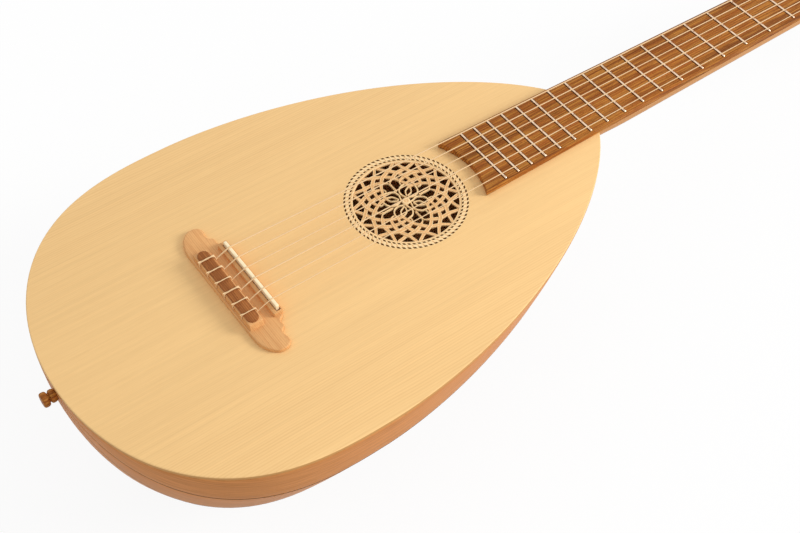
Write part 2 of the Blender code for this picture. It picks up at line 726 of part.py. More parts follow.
def make_neck():
    """The neck: round behind, from the body joint to the slanted joint with the headstock."""
    start = JOINT_X + GAP
    rings = []
    for share in (0.0, HEEL_SHARE, 1.0):
        x = start + (SCALE_LENGTH - start) * share
        depth = HEEL_DEPTH + (NECK_DEPTH_AT_NUT - HEEL_DEPTH) * share
        half_width = board_half_width(x)
        if share == 0.0:
            half_width = HEEL_HALF_WIDTH
        rings.append(neck_section(x, half_width, depth, 0.0))
    half_width = board_half_width(SCALE_LENGTH)
    rings.append(neck_section(HEAD_X - GAP, half_width, NECK_DEPTH_AT_NUT, math.tan(HEAD_ANGLE)))
    add_object("neck", smooth(loft_mesh("neck", rings)), ("maple", MAPLE), saddle_frame)


def neck_section(x, half_width, depth, slant):
    """One section of the neck; slant leans it with the headstock's joint."""
    side = -RIM_Z
    points = [(half_width, 0.0)]
    for k in range(11):
        turn = math.pi * k / 10
        points.append((half_width * math.cos(turn), -side - (depth - side) * math.sin(turn)))
    points.append((-half_width, 0.0))
    return [(x + slant * z, y, z) for y, z in points]


def make_fingerboard():
    """The fingerboard with its frets seated in it and its hollow end over the top."""
    half = board_half_width(BOARD_END_X)
    nut_half = board_half_width(SCALE_LENGTH)
    outline = [(SCALE_LENGTH, -nut_half), (SCALE_LENGTH, nut_half)]
    for k in range(11):
        share = 1 - k / 5
        outline.append((BOARD_END_X + FINGERBOARD_END_HOLLOW * (1 - share ** 2), half * share))
    mesh = outline_mesh("fingerboard", [outline], GAP, FINGERBOARD_TOP)
    frets = [fret_mesh(fret_x(number)) for number in range(1, FRET_COUNT + 1)]
    mesh = boolean_mesh(mesh, [joined_mesh("frets", frets)], "UNION")
    add_object("fingerboard", mesh, ("walnut", WALNUT), saddle_frame)


def fret_mesh(x):
    """One fret: a crown on the board over a tang in its slot."""
    half = FRET_CROWN_WIDTH / 2
    top = FINGERBOARD_TOP + FRET_CROWN_HEIGHT
    sunk = FINGERBOARD_TOP - FRET_CROWN_HEIGHT
    shoulder = FINGERBOARD_TOP + FRET_CROWN_HEIGHT / 3
    reach = board_half_width(x) - FRET_INSET
    right = [(half, sunk), (half, shoulder), (half / 2, top)]
    section = right + [(-a, z) for a, z in reversed(right)]
    rings = [[(x + a, y, z) for a, z in section] for y in (-reach, reach)]
    return loft_mesh("fret", rings)


def make_nut():
    """The bone nut at the end of the fingerboard."""
    start = SCALE_LENGTH + GAP
    half = board_half_width(SCALE_LENGTH)
    middle, end = start + NUT_THICKNESS / 2, start + NUT_THICKNESS
    low_top = NUT_TOP - NUT_THICKNESS / 3
    section = [(start, GAP), (start, NUT_TOP), (middle, NUT_TOP), (end, low_top), (end, GAP)]
    rings = [[(x, y, z) for x, z in section] for y in (-half, half)]
    add_object("nut", loft_mesh("nut", rings), ("bone", BONE), saddle_frame)


# Headstock

def roller_places():
    """Each machine head: number, place along the head and side. The lowest string's is first."""
    near_to_far = [FIRST_ROLLER + ROLLER_SPACING * k for k in range(3)]
    places = [(near_to_far[k], 1) for k in range(3)] + [(near_to_far[2 - k], -1) for k in range(3)]
    return [(number, u, side) for number, (u, side) in enumerate(places, 1)]


def head_outline():
    """The headstock's plan, from the nut to its crown."""
    start = board_half_width(SCALE_LENGTH)
    side = [
        (0.0, start), (0.35 * HEAD_SHOULDER, start + 0.5 * MM),
        (0.8 * HEAD_SHOULDER, HEAD_SIDE - 1.5 * MM), (HEAD_SHOULDER, HEAD_SIDE),
        (HEAD_LENGTH - 1.6 * HEAD_CROWN, HEAD_SIDE), (HEAD_LENGTH - 0.9 * HEAD_CROWN, 0.9 * HEAD_SIDE),
        (HEAD_LENGTH - 0.7 * HEAD_CROWN, 0.62 * HEAD_SIDE),
        (HEAD_LENGTH - 0.35 * HEAD_CROWN, 0.4 * HEAD_SIDE), (HEAD_LENGTH, 0.18 * HEAD_SIDE),
    ]
    return side + [(u, -v) for u, v in reversed(side)]


def slot_outline(side):
    """One string slot, with round ends."""
    radius = SLOT_WIDTH / 2
    middle = side * (CENTRE_BAR_WIDTH / 2 + radius)
    points = []
    for end, sign in ((SLOT_END - radius, 1), (SLOT_START + radius, -1)):
        for k in range(9):
            turn = math.pi * k / 8 - math.pi / 2
            across = middle + sign * radius * math.sin(turn)
            points.append((end + sign * radius * math.cos(turn), across))
    return points


def make_headstock():
    """The slotted headstock, bored for the rollers."""
    outlines = [head_outline(), slot_outline(1), slot_outline(-1)]
    mesh = outline_mesh("headstock", outlines, -HEAD_THICKNESS, 0)
    bores = []
    seat = CENTRE_BAR_WIDTH / 2 - ROLLER_SEAT - GAP
    for _, u, side in roller_places():
        start, end = (u, side * seat, ROLLER_DEPTH), (u, side * (HEAD_SIDE + GAP), ROLLER_DEPTH)
        bores.append(cylinder_mesh("bore", ROLLER_RADIUS + RUNNING_GAP, start, end, 16))
    mesh = boolean_mesh(mesh, [joined_mesh("bores", bores)], "DIFFERENCE")
    add_object("headstock", mesh, ("maple", MAPLE), head_frame)


def worm_u(u):
    """Place along the head of the worm that turns the gear at u."""
    return u + WORM_OFFSET


def make_plate(name, side):
    """One machine-head plate with the ears that carry its three worm shafts."""
    us = [u for _, u, where in roller_places() if where == side]
    near, far = min(us) - PLATE_OVERHANG, max(us) + PLATE_OVERHANG + WORM_OFFSET / 2
    inner = HEAD_SIDE + GAP
    outer = inner + PLATE_THICKNESS
    low, high = ROLLER_DEPTH - PLATE_HEIGHT / 2, ROLLER_DEPTH + PLATE_HEIGHT / 2
    mesh = box_mesh(name, *ordered((near, side * inner, low), (far, side * outer, high)))
    ears, holes = [], []
    ear_out = side * (GEAR_MIDDLE + WORM_CORE_RADIUS + RUNNING_GAP + EAR_THICKNESS)
    for u in us:
        middle = worm_u(u)
        for place in (-EAR_PLACE, EAR_PLACE):
            base = ROLLER_DEPTH + place
            root = (middle - EAR_LENGTH / 2, side * (inner + PLATE_THICKNESS / 2), base - EAR_THICKNESS / 2)
            tip = (middle + EAR_LENGTH / 2, ear_out, base + EAR_THICKNESS / 2)
            ears.append(box_mesh("ear", *ordered(root, tip)))
        reach = EAR_PLACE + CUT_PAST
        ends = [(middle, side * GEAR_MIDDLE, ROLLER_DEPTH + end) for end in (-reach, reach)]
        holes.append(cylinder_mesh("shaft_hole", WORM_CORE_RADIUS + RUNNING_GAP, *ends, 12))
        ends = [(u, side * end, ROLLER_DEPTH) for end in (inner - GAP, outer + GAP)]
        holes.append(cylinder_mesh("axle_hole", AXLE_RADIUS + RUNNING_GAP, *ends, 12))
    mesh = boolean_mesh(mesh, [joined_mesh("ears", ears)], "UNION")
    mesh = boolean_mesh(mesh, [joined_mesh("plate_holes", holes)], "DIFFERENCE")
    add_object(name, mesh, ("brass", BRASS), head_frame)


def ordered(a, b):
    """Two corners as the lowest and the highest."""
    return tuple(map(min, a, b)), tuple(map(max, a, b))


def roller_mesh():
    """The string roller with its seat, barrel and thinner axle, along local z from the head's middle."""
    inner = CENTRE_BAR_WIDTH / 2 - ROLLER_SEAT
    barrel_end = HEAD_SIDE - GAP
    axle_end = GEAR_SIDE + GEAR_THICKNESS + GAP
    profile = [
        (0, axle_end), (AXLE_RADIUS, axle_end), (AXLE_RADIUS, barrel_end),
        (ROLLER_RADIUS, barrel_end), (ROLLER_RADIUS, inner), (0, inner),
    ]
    return smooth(turned_mesh("roller", profile, 12))


def gear_mesh():
    """The gear on the roller's axle, a tooth pointing along the head to the worm."""
    tip = GEAR_PITCH_RADIUS + GEAR_MODULE
    root = GEAR_PITCH_RADIUS - 1.2 * GEAR_MODULE
    pitch = 2 * math.pi / GEAR_TEETH
    outline = []
    for tooth in range(GEAR_TEETH):
        for radius, share in ((root, -0.27), (tip, -0.11), (tip, 0.11), (root, 0.27)):
            turn = pitch * (tooth + share)
            outline.append((radius * math.cos(turn), radius * math.sin(turn)))
    bore = circle_points(0, 0, AXLE_RADIUS + GAP, 12)
    return outline_mesh("gear", [outline, bore], GEAR_SIDE, GEAR_SIDE + GEAR_THICKNESS)


def worm_mesh():
    """The worm shaft along local z: a thread on a core that runs back to the knob."""
    inner, outer = WORM_CORE_RADIUS - 0.3 * MM, WORM_RADIUS
    root, crest = 0.22 * THREAD_PITCH, 0.1 * THREAD_PITCH
    rings = []
    count = WORM_TURNS * WORM_STEPS
    for k in range(count + 1):
        turns = k / WORM_STEPS - WORM_TURNS / 2
        rise = turns * THREAD_PITCH
        across = Vector((math.cos(2 * math.pi * turns), math.sin(2 * math.pi * turns), 0))
        section = ((inner, -root), (outer, -crest), (outer, crest), (inner, root))
        rings.append([across * radius + Vector((0, 0, rise + height)) for radius, height in section])
    top = EAR_PLACE + EAR_THICKNESS / 2 + GAP
    bottom = knob_middle() + KNOB_LENGTH / 4
    core = cylinder_mesh("worm_core", WORM_CORE_RADIUS, (0, 0, bottom), (0, 0, top), WORM_STEPS)
    return smooth(boolean_mesh(core, [loft_mesh("thread", rings)], "UNION"))


def knob_middle():
    """Height of the knob's middle along the worm's axis, measured from the roller's axis."""
    return -HEAD_THICKNESS / 2 - KNOB_CLEARANCE - KNOB_LENGTH / 2


def knob_mesh():
    """The oval knob, flattened, with a hole for its shaft."""
    bm = bmesh.new()
    bmesh.ops.create_uvsphere(bm, u_segments=12, v_segments=6, radius=0.5)
    bmesh.ops.scale(bm, vec=(KNOB_WIDTH, KNOB_THICKNESS, KNOB_LENGTH), verts=bm.verts)
    bmesh.ops.translate(bm, vec=(0, 0, knob_middle()), verts=bm.verts)
    body = mesh_from(bm, "knob")
    hole_end = knob_middle() + KNOB_LENGTH / 4 - GAP
    hole = cylinder_mesh("knob_hole", WORM_CORE_RADIUS + GAP, (0, 0, hole_end), (0, 0, 0), 12)
    return smooth(boolean_mesh(body, [hole], "DIFFERENCE"))


def make_machine_heads():
    """Plates, rollers, gears, worm shafts and knobs. Each turning piece's origin is on its axis."""
    make_plate("tuner_plate_left", 1)
    make_plate("tuner_plate_right", -1)
    roller, gear, worm, knob = roller_mesh(), gear_mesh(), worm_mesh(), knob_mesh()
    for number, u, side in roller_places():
        across = -side * math.pi / 2
        for kind, mesh, finish in (("roller", roller, ("bone", BONE)), ("gear", gear, ("brass", BRASS))):
            piece = add_object(f"{kind}_{number}", mesh, finish, head_frame)
            piece.location = (u, 0, ROLLER_DEPTH)
            piece.rotation_euler = (across, 0, 0)
        for kind, mesh, finish in (("worm_shaft", worm, ("steel", STEEL)), ("knob", knob, ("bone", BONE))):
            piece = add_object(f"{kind}_{number}", mesh, finish, head_frame)
            piece.location = (worm_u(u), side * GEAR_MIDDLE, ROLLER_DEPTH)


# Strings

def bridge_tie(y, radius):
    """A string's tie at the bridge: tucked end, loop over the tie block, and back through its hole."""
    above = TIE_BLOCK_HEIGHT + GAP + INLAY_THICKNESS + GAP + radius
    behind = TIE_BLOCK_BACK_X - GAP - radius
    before = TIE_BLOCK_FRONT_X + GAP + radius
    return [
        (before + 0.4 * MM, y - TIE_ASIDE, WING_HEIGHT + 2.0 * MM),
        (before + 0.2 * MM, y - TIE_ASIDE, above - 1.6 * MM),
        (before - 0.5 * MM, y - 0.95 * TIE_ASIDE, above - 0.3 * MM),
        (before - 2.2 * MM, y - 0.85 * TIE_ASIDE, above),
        (behind + 2.0 * MM, y - 0.3 * TIE_ASIDE, above),
        (behind + 0.4 * MM, y - 0.2 * TIE_ASIDE, above - 0.4 * MM),
        (behind - 0.1 * MM, y - 0.1 * TIE_ASIDE, above - 1.4 * MM),
        (behind - 0.1 * MM, y, TIE_HOLE_HEIGHT + 0.8 * MM),
        (behind + 0.6 * MM, y, TIE_HOLE_HEIGHT),
        (TIE_BLOCK_FRONT_X + GAP, y, TIE_HOLE_HEIGHT),
    ]


def winding(start, u, side, radius, inner_v):
    """A string's turns round its roller, from where it comes off the nut."""
    coil = ROLLER_RADIUS + GAP + radius
    gone_u, gone_n = start[0] - u, start[2] - ROLLER_DEPTH
    reach = math.hypot(gone_u, gone_n)
    first = math.atan2(gone_u, gone_n) + math.acos(coil / reach)
    step = (2 * radius + WINDING_SIDE_GAP) / WINDING_STEPS
    points = []
    for k in range(WINDING_TURNS * WINDING_STEPS + 1):
        turn = first + 2 * math.pi * k / WINDING_STEPS
        v = side * (inner_v + step * k)
        points.append((u + coil * math.sin(turn), v, ROLLER_DEPTH + coil * math.cos(turn)))
    last = first + 2 * math.pi * WINDING_TURNS
    ahead = 2 * radius
    end = points[-1]
    points.append((end[0] + ahead * math.cos(last), end[1], end[2] - ahead * math.sin(last)))
    return [head_point(*point) for point in points]


def least_gap(points, diameter):
    """The least gap of a tube to itself, between places more than six diameters apart along it."""
    apart = 6 * diameter
    runs = [0.0]
    for a, b in zip(points, points[1:]):
        runs.append(runs[-1] + (Vector(b) - Vector(a)).length)
    least = math.inf
    for i, a in enumerate(points):
        for j in range(i + 1, len(points)):
            if runs[j] - runs[i] > apart:
                least = min(least, (Vector(points[j]) - Vector(a)).length - diameter)
    return least


def make_strings():
    """Six strings, each one tube from its tie to its winding."""
    nut_start = SCALE_LENGTH + GAP
    nut_middle, nut_end = nut_start + NUT_THICKNESS / 2, nut_start + NUT_THICKNESS
    on_saddle = SADDLE_THICKNESS / 4
    places = roller_places()
    for index, diameter in enumerate(STRING_DIAMETERS):
        number, u, side = places[index]
        radius = diameter / 2
        y_saddle = string_y(index, STRING_SPREAD_AT_SADDLE)
        y_nut = string_y(index, STRING_SPREAD_AT_NUT)
        over_saddle = SADDLE_HEIGHT + GAP + radius
        over_nut = NUT_TOP + GAP + radius
        points = bridge_tie(y_saddle, radius)
        points += [(x, y_saddle, over_saddle) for x in (-on_saddle, on_saddle)]
        points += [(x, y_nut, over_nut) for x in (nut_start, nut_middle)]
        off_nut = (nut_end, y_nut, over_nut - NUT_THICKNESS / 5)
        points.append(off_nut)
        order = abs(abs(index - 2.5) - 0.5)
        inner_v = CENTRE_BAR_WIDTH / 2 + WINDING_FROM_BAR + order * WINDING_SHIFT
        points += winding(to_head(off_nut), u, side, radius, inner_v)
        mesh = tube_mesh(f"string_{number}", points, diameter)
        add_object(f"string_{number}", smooth(mesh, 70), ("nylon", NYLON), saddle_frame)
        print(f"string_{number}: least gap to itself {least_gap(points, diameter) / MM:.2f} mm")


def to_head(point):
    """A point of the saddle frame in the head frame."""
    x, y, z = point
    sine, cosine = math.sin(HEAD_ANGLE), math.cos(HEAD_ANGLE)
    return ((x - HEAD_X) * cosine - z * sine, y, (x - HEAD_X) * sine + z * cosine)


make_soundboard()
make_rosette()
make_ribs()
make_inside()
make_end_button()
make_bridge()
make_inlay()
make_saddle()
make_neck()
make_fingerboard()
make_nut()
make_headstock()
make_machine_heads()
make_strings()
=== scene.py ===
"""Finished surfaces of a lute guitar, built around its packed frame.

Pieces of the body, bridge, neck and strings are modelled in the saddle frame: x runs from the saddle
to the head, y across the strings with the lowest string at +y, and z up from the soundboard's face.
Pieces of the headstock are modelled in the head frame: u along the head, v across it, n up from its face.
"""

import json
from math import acos, asin, atan2, copysign, cos, e, hypot, pi, radians, sin, tan

import bmesh
import bpy
import numpy as np
from mathutils import Matrix, Vector
from mathutils.geometry import tessellate_polygon


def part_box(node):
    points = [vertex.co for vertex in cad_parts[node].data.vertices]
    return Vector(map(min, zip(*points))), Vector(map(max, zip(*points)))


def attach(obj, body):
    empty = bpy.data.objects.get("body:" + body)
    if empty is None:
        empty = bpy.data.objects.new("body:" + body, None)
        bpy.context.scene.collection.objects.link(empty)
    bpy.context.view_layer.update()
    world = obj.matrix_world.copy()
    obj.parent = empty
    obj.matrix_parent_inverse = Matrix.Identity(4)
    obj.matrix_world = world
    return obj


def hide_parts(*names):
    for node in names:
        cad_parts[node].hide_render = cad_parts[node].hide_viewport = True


bl_info = {
    "name": "Lute Guitar",
    "version": (1, 0, 0),
    "blender": (4, 5, 0),
    "location": "View3D > Sidebar > Lute Guitar",
    "description": "Builds the finished surfaces of a lute guitar around its frame",
    "category": "Add Mesh",
}

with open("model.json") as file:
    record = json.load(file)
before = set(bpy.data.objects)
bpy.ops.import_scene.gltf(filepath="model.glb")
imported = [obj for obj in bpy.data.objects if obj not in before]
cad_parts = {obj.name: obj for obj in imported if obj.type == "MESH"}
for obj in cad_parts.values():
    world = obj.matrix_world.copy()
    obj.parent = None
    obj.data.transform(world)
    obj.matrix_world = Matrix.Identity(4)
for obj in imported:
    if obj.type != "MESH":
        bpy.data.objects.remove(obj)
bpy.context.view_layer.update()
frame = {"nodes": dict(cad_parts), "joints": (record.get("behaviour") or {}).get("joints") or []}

MM = 0.001
GAP = 0.3 * MM              # what touching pieces leave between them in the frame
PROUD = 0.03 * MM           # how far an inlay stands out, or a filled joint lies back


# Frames and sizes read from the packed frame

def joint_of(name):
    """A joint of the record by its name."""
    return next(joint for joint in frame["joints"] if joint["name"] == name)


SADDLE_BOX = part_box("saddle")
TOP_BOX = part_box("soundboard")
ORIGIN = Vector(((SADDLE_BOX[0].x + SADDLE_BOX[1].x) / 2, 0, TOP_BOX[1].z))
SADDLE_FRAME = Matrix.Translation(ORIGIN)


def saddle_box(node):
    """A node's lowest and highest corner in the saddle frame."""
    low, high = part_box(node)
    return low - ORIGIN, high - ORIGIN


NUT_LOW, NUT_HIGH = saddle_box("nut")
TOP_LOW, TOP_HIGH = saddle_box("soundboard")
SADDLE_LOW, SADDLE_HIGH = saddle_box("saddle")
BOARD_END_X = saddle_box("fingerboard")[0].x
BRIDGE_LOW, BRIDGE_HIGH = saddle_box("bridge")
INLAY_LOW, INLAY_HIGH = saddle_box("tie_block_inlay")
ROSETTE_LOW, ROSETTE_HIGH = saddle_box("rosette")
BUTTON_LOW, BUTTON_HIGH = saddle_box("end_button")
SCALE_LENGTH = NUT_LOW.x - GAP
HEAD_AXIS = Vector(joint_of("knob_1_turn")["axis"])
HEAD_ANGLE = atan2(HEAD_AXIS.x, HEAD_AXIS.z)
HEAD_X = NUT_HIGH.x + GAP
HEAD_FRAME = SADDLE_FRAME @ Matrix.Translation((HEAD_X, 0, 0)) @ Matrix.Rotation(HEAD_ANGLE, 4, "Y")
TO_HEAD = HEAD_FRAME.inverted()


def joint_place(name):
    """A joint's place in the head frame."""
    return TO_HEAD @ Vector(joint_of(name)["pos_m"])


# Body outline and bowl, measured from the saddle
HALF_WIDTH = TOP_HIGH.y
TAIL_LENGTH = -TOP_LOW.x
JOINT_X = TOP_HIGH.x
TOP_THICKNESS = TOP_HIGH.z - TOP_LOW.z
RIM_Z = -TOP_THICKNESS - GAP
WIDEST_X = 15.4 * MM
NECK_TIP_X = SCALE_LENGTH / 2 + 3.7 * MM
TAIL_CURVE = (2.77, 2.03)   # powers of the superellipse behind the widest place
NECK_CURVE = (1.821, 1.541) # and before it
BOWL_DEPTH = 136.7 * MM     # rim to keel at the widest place, without the ribs' crown
KEEL_FALL_TO_NECK = 0.39    # loss of the depth-to-half-width ratio over the neck side
KEEL_RISE_TO_TAIL = 0.146
RIB_COUNT = 11
RIB_THICKNESS = 1.8 * MM
RIB_EDGE_EASE = 0.02        # share of a rib's width that its eased edge takes
FULL_CROWN_WIDTH = 20 * MM  # a rib narrower than this has less crown
SIDE_RIB_ANGLE = radians(14.0)
RIB_END_HALF_WIDTH = 10.5 * MM
ROSETTE_X = (ROSETTE_LOW.x + ROSETTE_HIGH.x) / 2
ROSETTE_RADIUS = (ROSETTE_HIGH.x - ROSETTE_LOW.x) / 2

# Bridge
WING_ROOT_Y = 40 * MM       # half length of the bridge's middle, where the wings start
TIE_BACK_X, TIE_FRONT_X = -25.4 * MM, -14.0 * MM
TIE_HEIGHT = INLAY_LOW.z - GAP
TIE_HOLE_Z = 5.4 * MM
TIE_HOLE_RADIUS = 0.95 * MM
RIDGE_BACK_X = -5.0 * MM
RIDGE_HEIGHT = 7.4 * MM
SLOT_PLAY = 0.4 * MM        # between the saddle's slot and the frame's saddle, each side
SLOT_PAST_LOW, SLOT_PAST_HIGH = 1.5 * MM, 0.15 * MM     # how far the slot runs past the saddle's ends
SADDLE_SLOT_DEPTH = 3.4 * MM
WING_OVERLAP = 1.5 * MM     # how far the tie block and the ridge reach down into the wings

# Fingerboard and neck
FRET_COUNT = 19
BOARD_NUT_WIDTH = NUT_HIGH.y - NUT_LOW.y
BOARD_BODY_WIDTH = 59.5 * MM    # at the 12th fret
BOARD_TOP = GAP + 5.0 * MM
BOARD_END_HOLLOW = 8 * MM
FRET_BEVEL = 0.8 * MM
FRET_DEPTH = 0.3 * MM           # how far a fret goes into the board
NECK_DEPTH_AT_NUT = 16 * MM
HEEL_SHARE = 0.1                # of the neck's length, over which the heel narrows to the neck

# Strings
STRING_COUNT = 6
SPREAD_AT_SADDLE = 59 * MM
SPREAD_AT_NUT = BOARD_NUT_WIDTH - 6.5 * MM
THICKEST_STRING = 1.05 * MM
NOTCH_SHARE = 0.58              # half width of a string's notch in the nut over its diameter
NUT_SEAT = 0.45                 # of its diameter, by which a string's middle lies under the nut's top
COIL_TURNS = 2
COIL_GAP = 0.5 * MM
COIL_MARGIN = 4.0 * MM          # between the slot's inner side and the nearest coil
COIL_CLEARANCE = 0.1 * MM       # between a coil and its roller
STRING_END = ((0.25, 0.97), (0.42, 0.8), (0.5, 0.5))    # turn and depth of its way into the roller's hole

# Headstock
HEAD_THICKNESS = 18 * MM
HEAD_SIDE = 33 * MM
HEAD_LENGTH = 188 * MM
HEAD_SHOULDER = 26 * MM
HEAD_CROWN = 16 * MM
HEAD_BACK_EDGE, HEAD_FACE_EDGE = 1.0 * MM, 0.5 * MM     # roundings
SLOT_START = 25 * MM
SLOT_END = 142 * MM
SLOT_WIDTH = 16 * MM
SLOT_INNER = 7 * MM             # half the bar between the slots
ROLLER_DEPTH = -HEAD_THICKNESS / 2
ROLLER_RADIUS = 4.9 * MM
ROLLER_SEAT = 3.5 * MM
AXLE_RADIUS = 2.4 * MM
PLATE_THICKNESS = 1.2 * MM
PLATE_HEIGHT = 14 * MM
PLATE_OVERHANG = 13 * MM
PLATE_CORNER = 3 * MM
SCREW_MARGIN = 4.5 * MM
PLATE_SCREW = (2.0 * MM, 1.0 * MM)  # radius and height of a screw's head
GEAR_SCREW = (2.6 * MM, 0.9 * MM)
GEAR_TEETH = 14
GEAR_MODULE = 0.75 * MM
GEAR_THICKNESS = 3.4 * MM
GEAR_MIDDLE = abs(joint_place("knob_1_turn").y)
WORM_RADIUS = 3.3 * MM
WORM_CORE_RADIUS = 1.6 * MM
WORM_TURNS = 3
WORM_OFFSET = joint_place("knob_1_turn").x - joint_place("roller_1_turn").x
EAR_THICKNESS = 1.3 * MM
EAR_LENGTH = 5.6 * MM
THREAD_PITCH = pi * GEAR_MODULE
EAR_PLACE = (WORM_TURNS * THREAD_PITCH + EAR_THICKNESS) / 2 + THREAD_PITCH / 4 + GAP
KNOB_DROP = 6 * MM              # from the rollers' height down to the knobs
KNOB_TAPER = 0.8                # powers under 1 make a knob fuller than an ellipsoid, at its ends
KNOB_FULLNESS = 0.9             # and all round


# Settings

def length(name, description, default):
    """A length in metres."""
    return bpy.props.FloatProperty(
        name=name, description=description, default=default, min=0.0, precision=5, unit="LENGTH"
    )


def colour(name, description, default):
    """A colour, in linear red, green and blue."""
    return bpy.props.FloatVectorProperty(
        name=name, description=description, default=default, min=0.0, max=1.0, size=3, subtype="COLOR"
    )


class LuteBodySettings(bpy.types.PropertyGroup):
    """Soundboard and bowl."""
    top_rounding: length("Top rounding", "Radius of the soundboard's upper edge", 0.9 * MM)
    rib_crown: length("Rib crown", "How far a rib swells between its joints", 0.25 * MM)
    joint_line: length("Joint line", "Width of the dark line between two ribs", 0.34 * MM)


class LuteRosetteSettings(bpy.types.PropertyGroup):
    """Lattice rosette and its inlaid rings."""
    strand_thickness: length("Strand thickness", "Depth of the lattice's strands", 1.5 * MM)
    weave: length("Weave", "How far a strand rises over another or sinks under it", 0.2 * MM)
    border: length("Border height", "Height of a strand's raised borders", 0.16 * MM)
    rim_width: length("Rim width", "Width of the plain band around the lattice", 1.5 * MM)
    dashes: bpy.props.IntProperty(name="Dashes", description="Dark dashes in each ring", default=72, min=12)


class LuteBridgeSettings(bpy.types.PropertyGroup):
    """Bridge."""
    wing_height: length("Wing height", "Height of the wings over the soundboard", 3.6 * MM)
    edge: length("Edge", "Rounding of the wings' edges", 1.2 * MM)


class LuteNeckSettings(bpy.types.PropertyGroup):
    """Neck, fingerboard, frets and nut."""
    fret_width: length("Fret width", "Width of a fret's crown", 1.8 * MM)
    fret_height: length("Fret height", "Height of a fret's crown over the board", 1.0 * MM)
    # The dark line beside a fret is its slot line widened into painted shadow of the fret.
    fret_slot: length("Fret slot", "Width of the dark filler line beside a fret", 0.65 * MM)
    fret_inset: length("Fret inset", "Fret end to the fingerboard's side", 1.6 * MM)
    board_edge: length("Board edge", "Rounding of the fingerboard's upper edge", 0.35 * MM)


class LuteStringSettings(bpy.types.PropertyGroup):
    """The six strings, from the lowest to the highest."""
    diameters: bpy.props.FloatVectorProperty(
        name="Diameters", description="Diameters of the strings, from the lowest",
        default=(THICKEST_STRING, 0.9 * MM, 0.76 * MM, 1.0 * MM, 0.82 * MM, 0.72 * MM), size=6, unit="LENGTH",
    )


class LuteHeadSettings(bpy.types.PropertyGroup):
    """Headstock and machine heads."""
    veneer: length("Veneer", "Thickness of the headstock's face veneer", 1.4 * MM)
    knob_length: length("Knob length", "Length of a knob along its shaft", 18 * MM)
    knob_width: length("Knob width", "Width of a knob across its shaft", 16 * MM)
    knob_thickness: length("Knob thickness", "Thickness of a knob", 8.6 * MM)


class LuteFinishSettings(bpy.types.PropertyGroup):
    """Colours of the woods and fittings."""
    spruce: colour("Spruce", "Soundboard", (0.91, 0.597, 0.265))
    cherry: colour("Cherry", "Ribs", (0.73, 0.305, 0.095))
    maple: colour("Neck wood", "Neck and headstock", (0.66, 0.32, 0.115))
    lattice: colour("Lattice", "Rosette", (0.84, 0.495, 0.21))
    pear: colour("Pear", "Bridge", (0.80, 0.43, 0.168))
    walnut: colour("Walnut", "Fingerboard and end button", (0.37, 0.115, 0.020))
    inlay_walnut: colour("Inlay walnut", "Strip on the tie block", (0.37, 0.13, 0.040))
    lime_wood: colour("Lime wood", "Bars and blocks inside", (0.72, 0.52, 0.28))
    bone: colour("Bone", "Nut, saddle, rollers and knobs", (1.0, 0.83, 0.53))
    nylon: colour("Nylon", "Strings", (0.82, 0.57, 0.315))
    brass: colour("Brass", "Plates and gears", (0.80, 0.58, 0.26))
    fret_metal: colour("Fret metal", "Frets", (0.92, 0.70, 0.50))
    steel: colour("Steel", "Screws and worm shafts", (0.72, 0.69, 0.64))
    # The near-black strips beside the frets are painted shadow of the frets, with their slot lines.
    slot_filler: colour("Slot filler", "Lines beside the frets", (0.025, 0.010, 0.004))
    dark_line: colour("Dark line", "Joint lines and dashes", (0.085, 0.03, 0.004))


class LuteStageSettings(bpy.types.PropertyGroup):
    """Floor and light."""
    floor: colour("Floor", "Floor's colour, as it throws light back", (0.5, 0.5, 0.5))
    surround: bpy.props.FloatProperty(
        name="Surround", description="Strength of the even light from all sides", default=0.74, min=0.0
    )
    key: bpy.props.FloatProperty(
        name="Key", description="Power of the soft lamp beyond the neck", default=440.0, min=0.0, unit="POWER"
    )


SETTINGS = {
    "lute_body": LuteBodySettings,
    "lute_rosette": LuteRosetteSettings,
    "lute_bridge": LuteBridgeSettings,
    "lute_neck": LuteNeckSettings,
    "lute_strings": LuteStringSettings,
    "lute_head": LuteHeadSettings,
    "lute_finish": LuteFinishSettings,
    "lute_stage": LuteStageSettings,
}


# Materials

# Sizes of the cells of wood's noises, along and across the grain
WANDER = (160 * MM, 30 * MM)
FIBRE = (18 * MM, 0.35 * MM)
BAND = (150 * MM, 3 * MM)
CLOUD = (260 * MM, 30 * MM)
FLAME = (38 * MM, 1.5 * MM)
VESSEL = (3.2 * MM, 0.24 * MM)
RING_LEAN = 0.35                # how far growth rings lean through a board's thickness
RING_WANDER = 5                 # by how many rings' widths they wander
LATE_STEEPNESS = 2.2            # how suddenly a ring turns dark
LATE_END = 0.88                 # the share of a ring at which it starts to turn pale again
FAINTEST = 0.35                 # how dark the faintest rings are beside the strongest
BAND_SHARE = 0.6                # of the narrow bands in the wood's clouding
CLOUDING = 260.0                # clouds of a smooth surface, per metre
RUBBING = 2600.0                # and its rubbed spots
WOOD_RELIEF = 0.02 * MM
METAL_RELIEF = 0.002 * MM

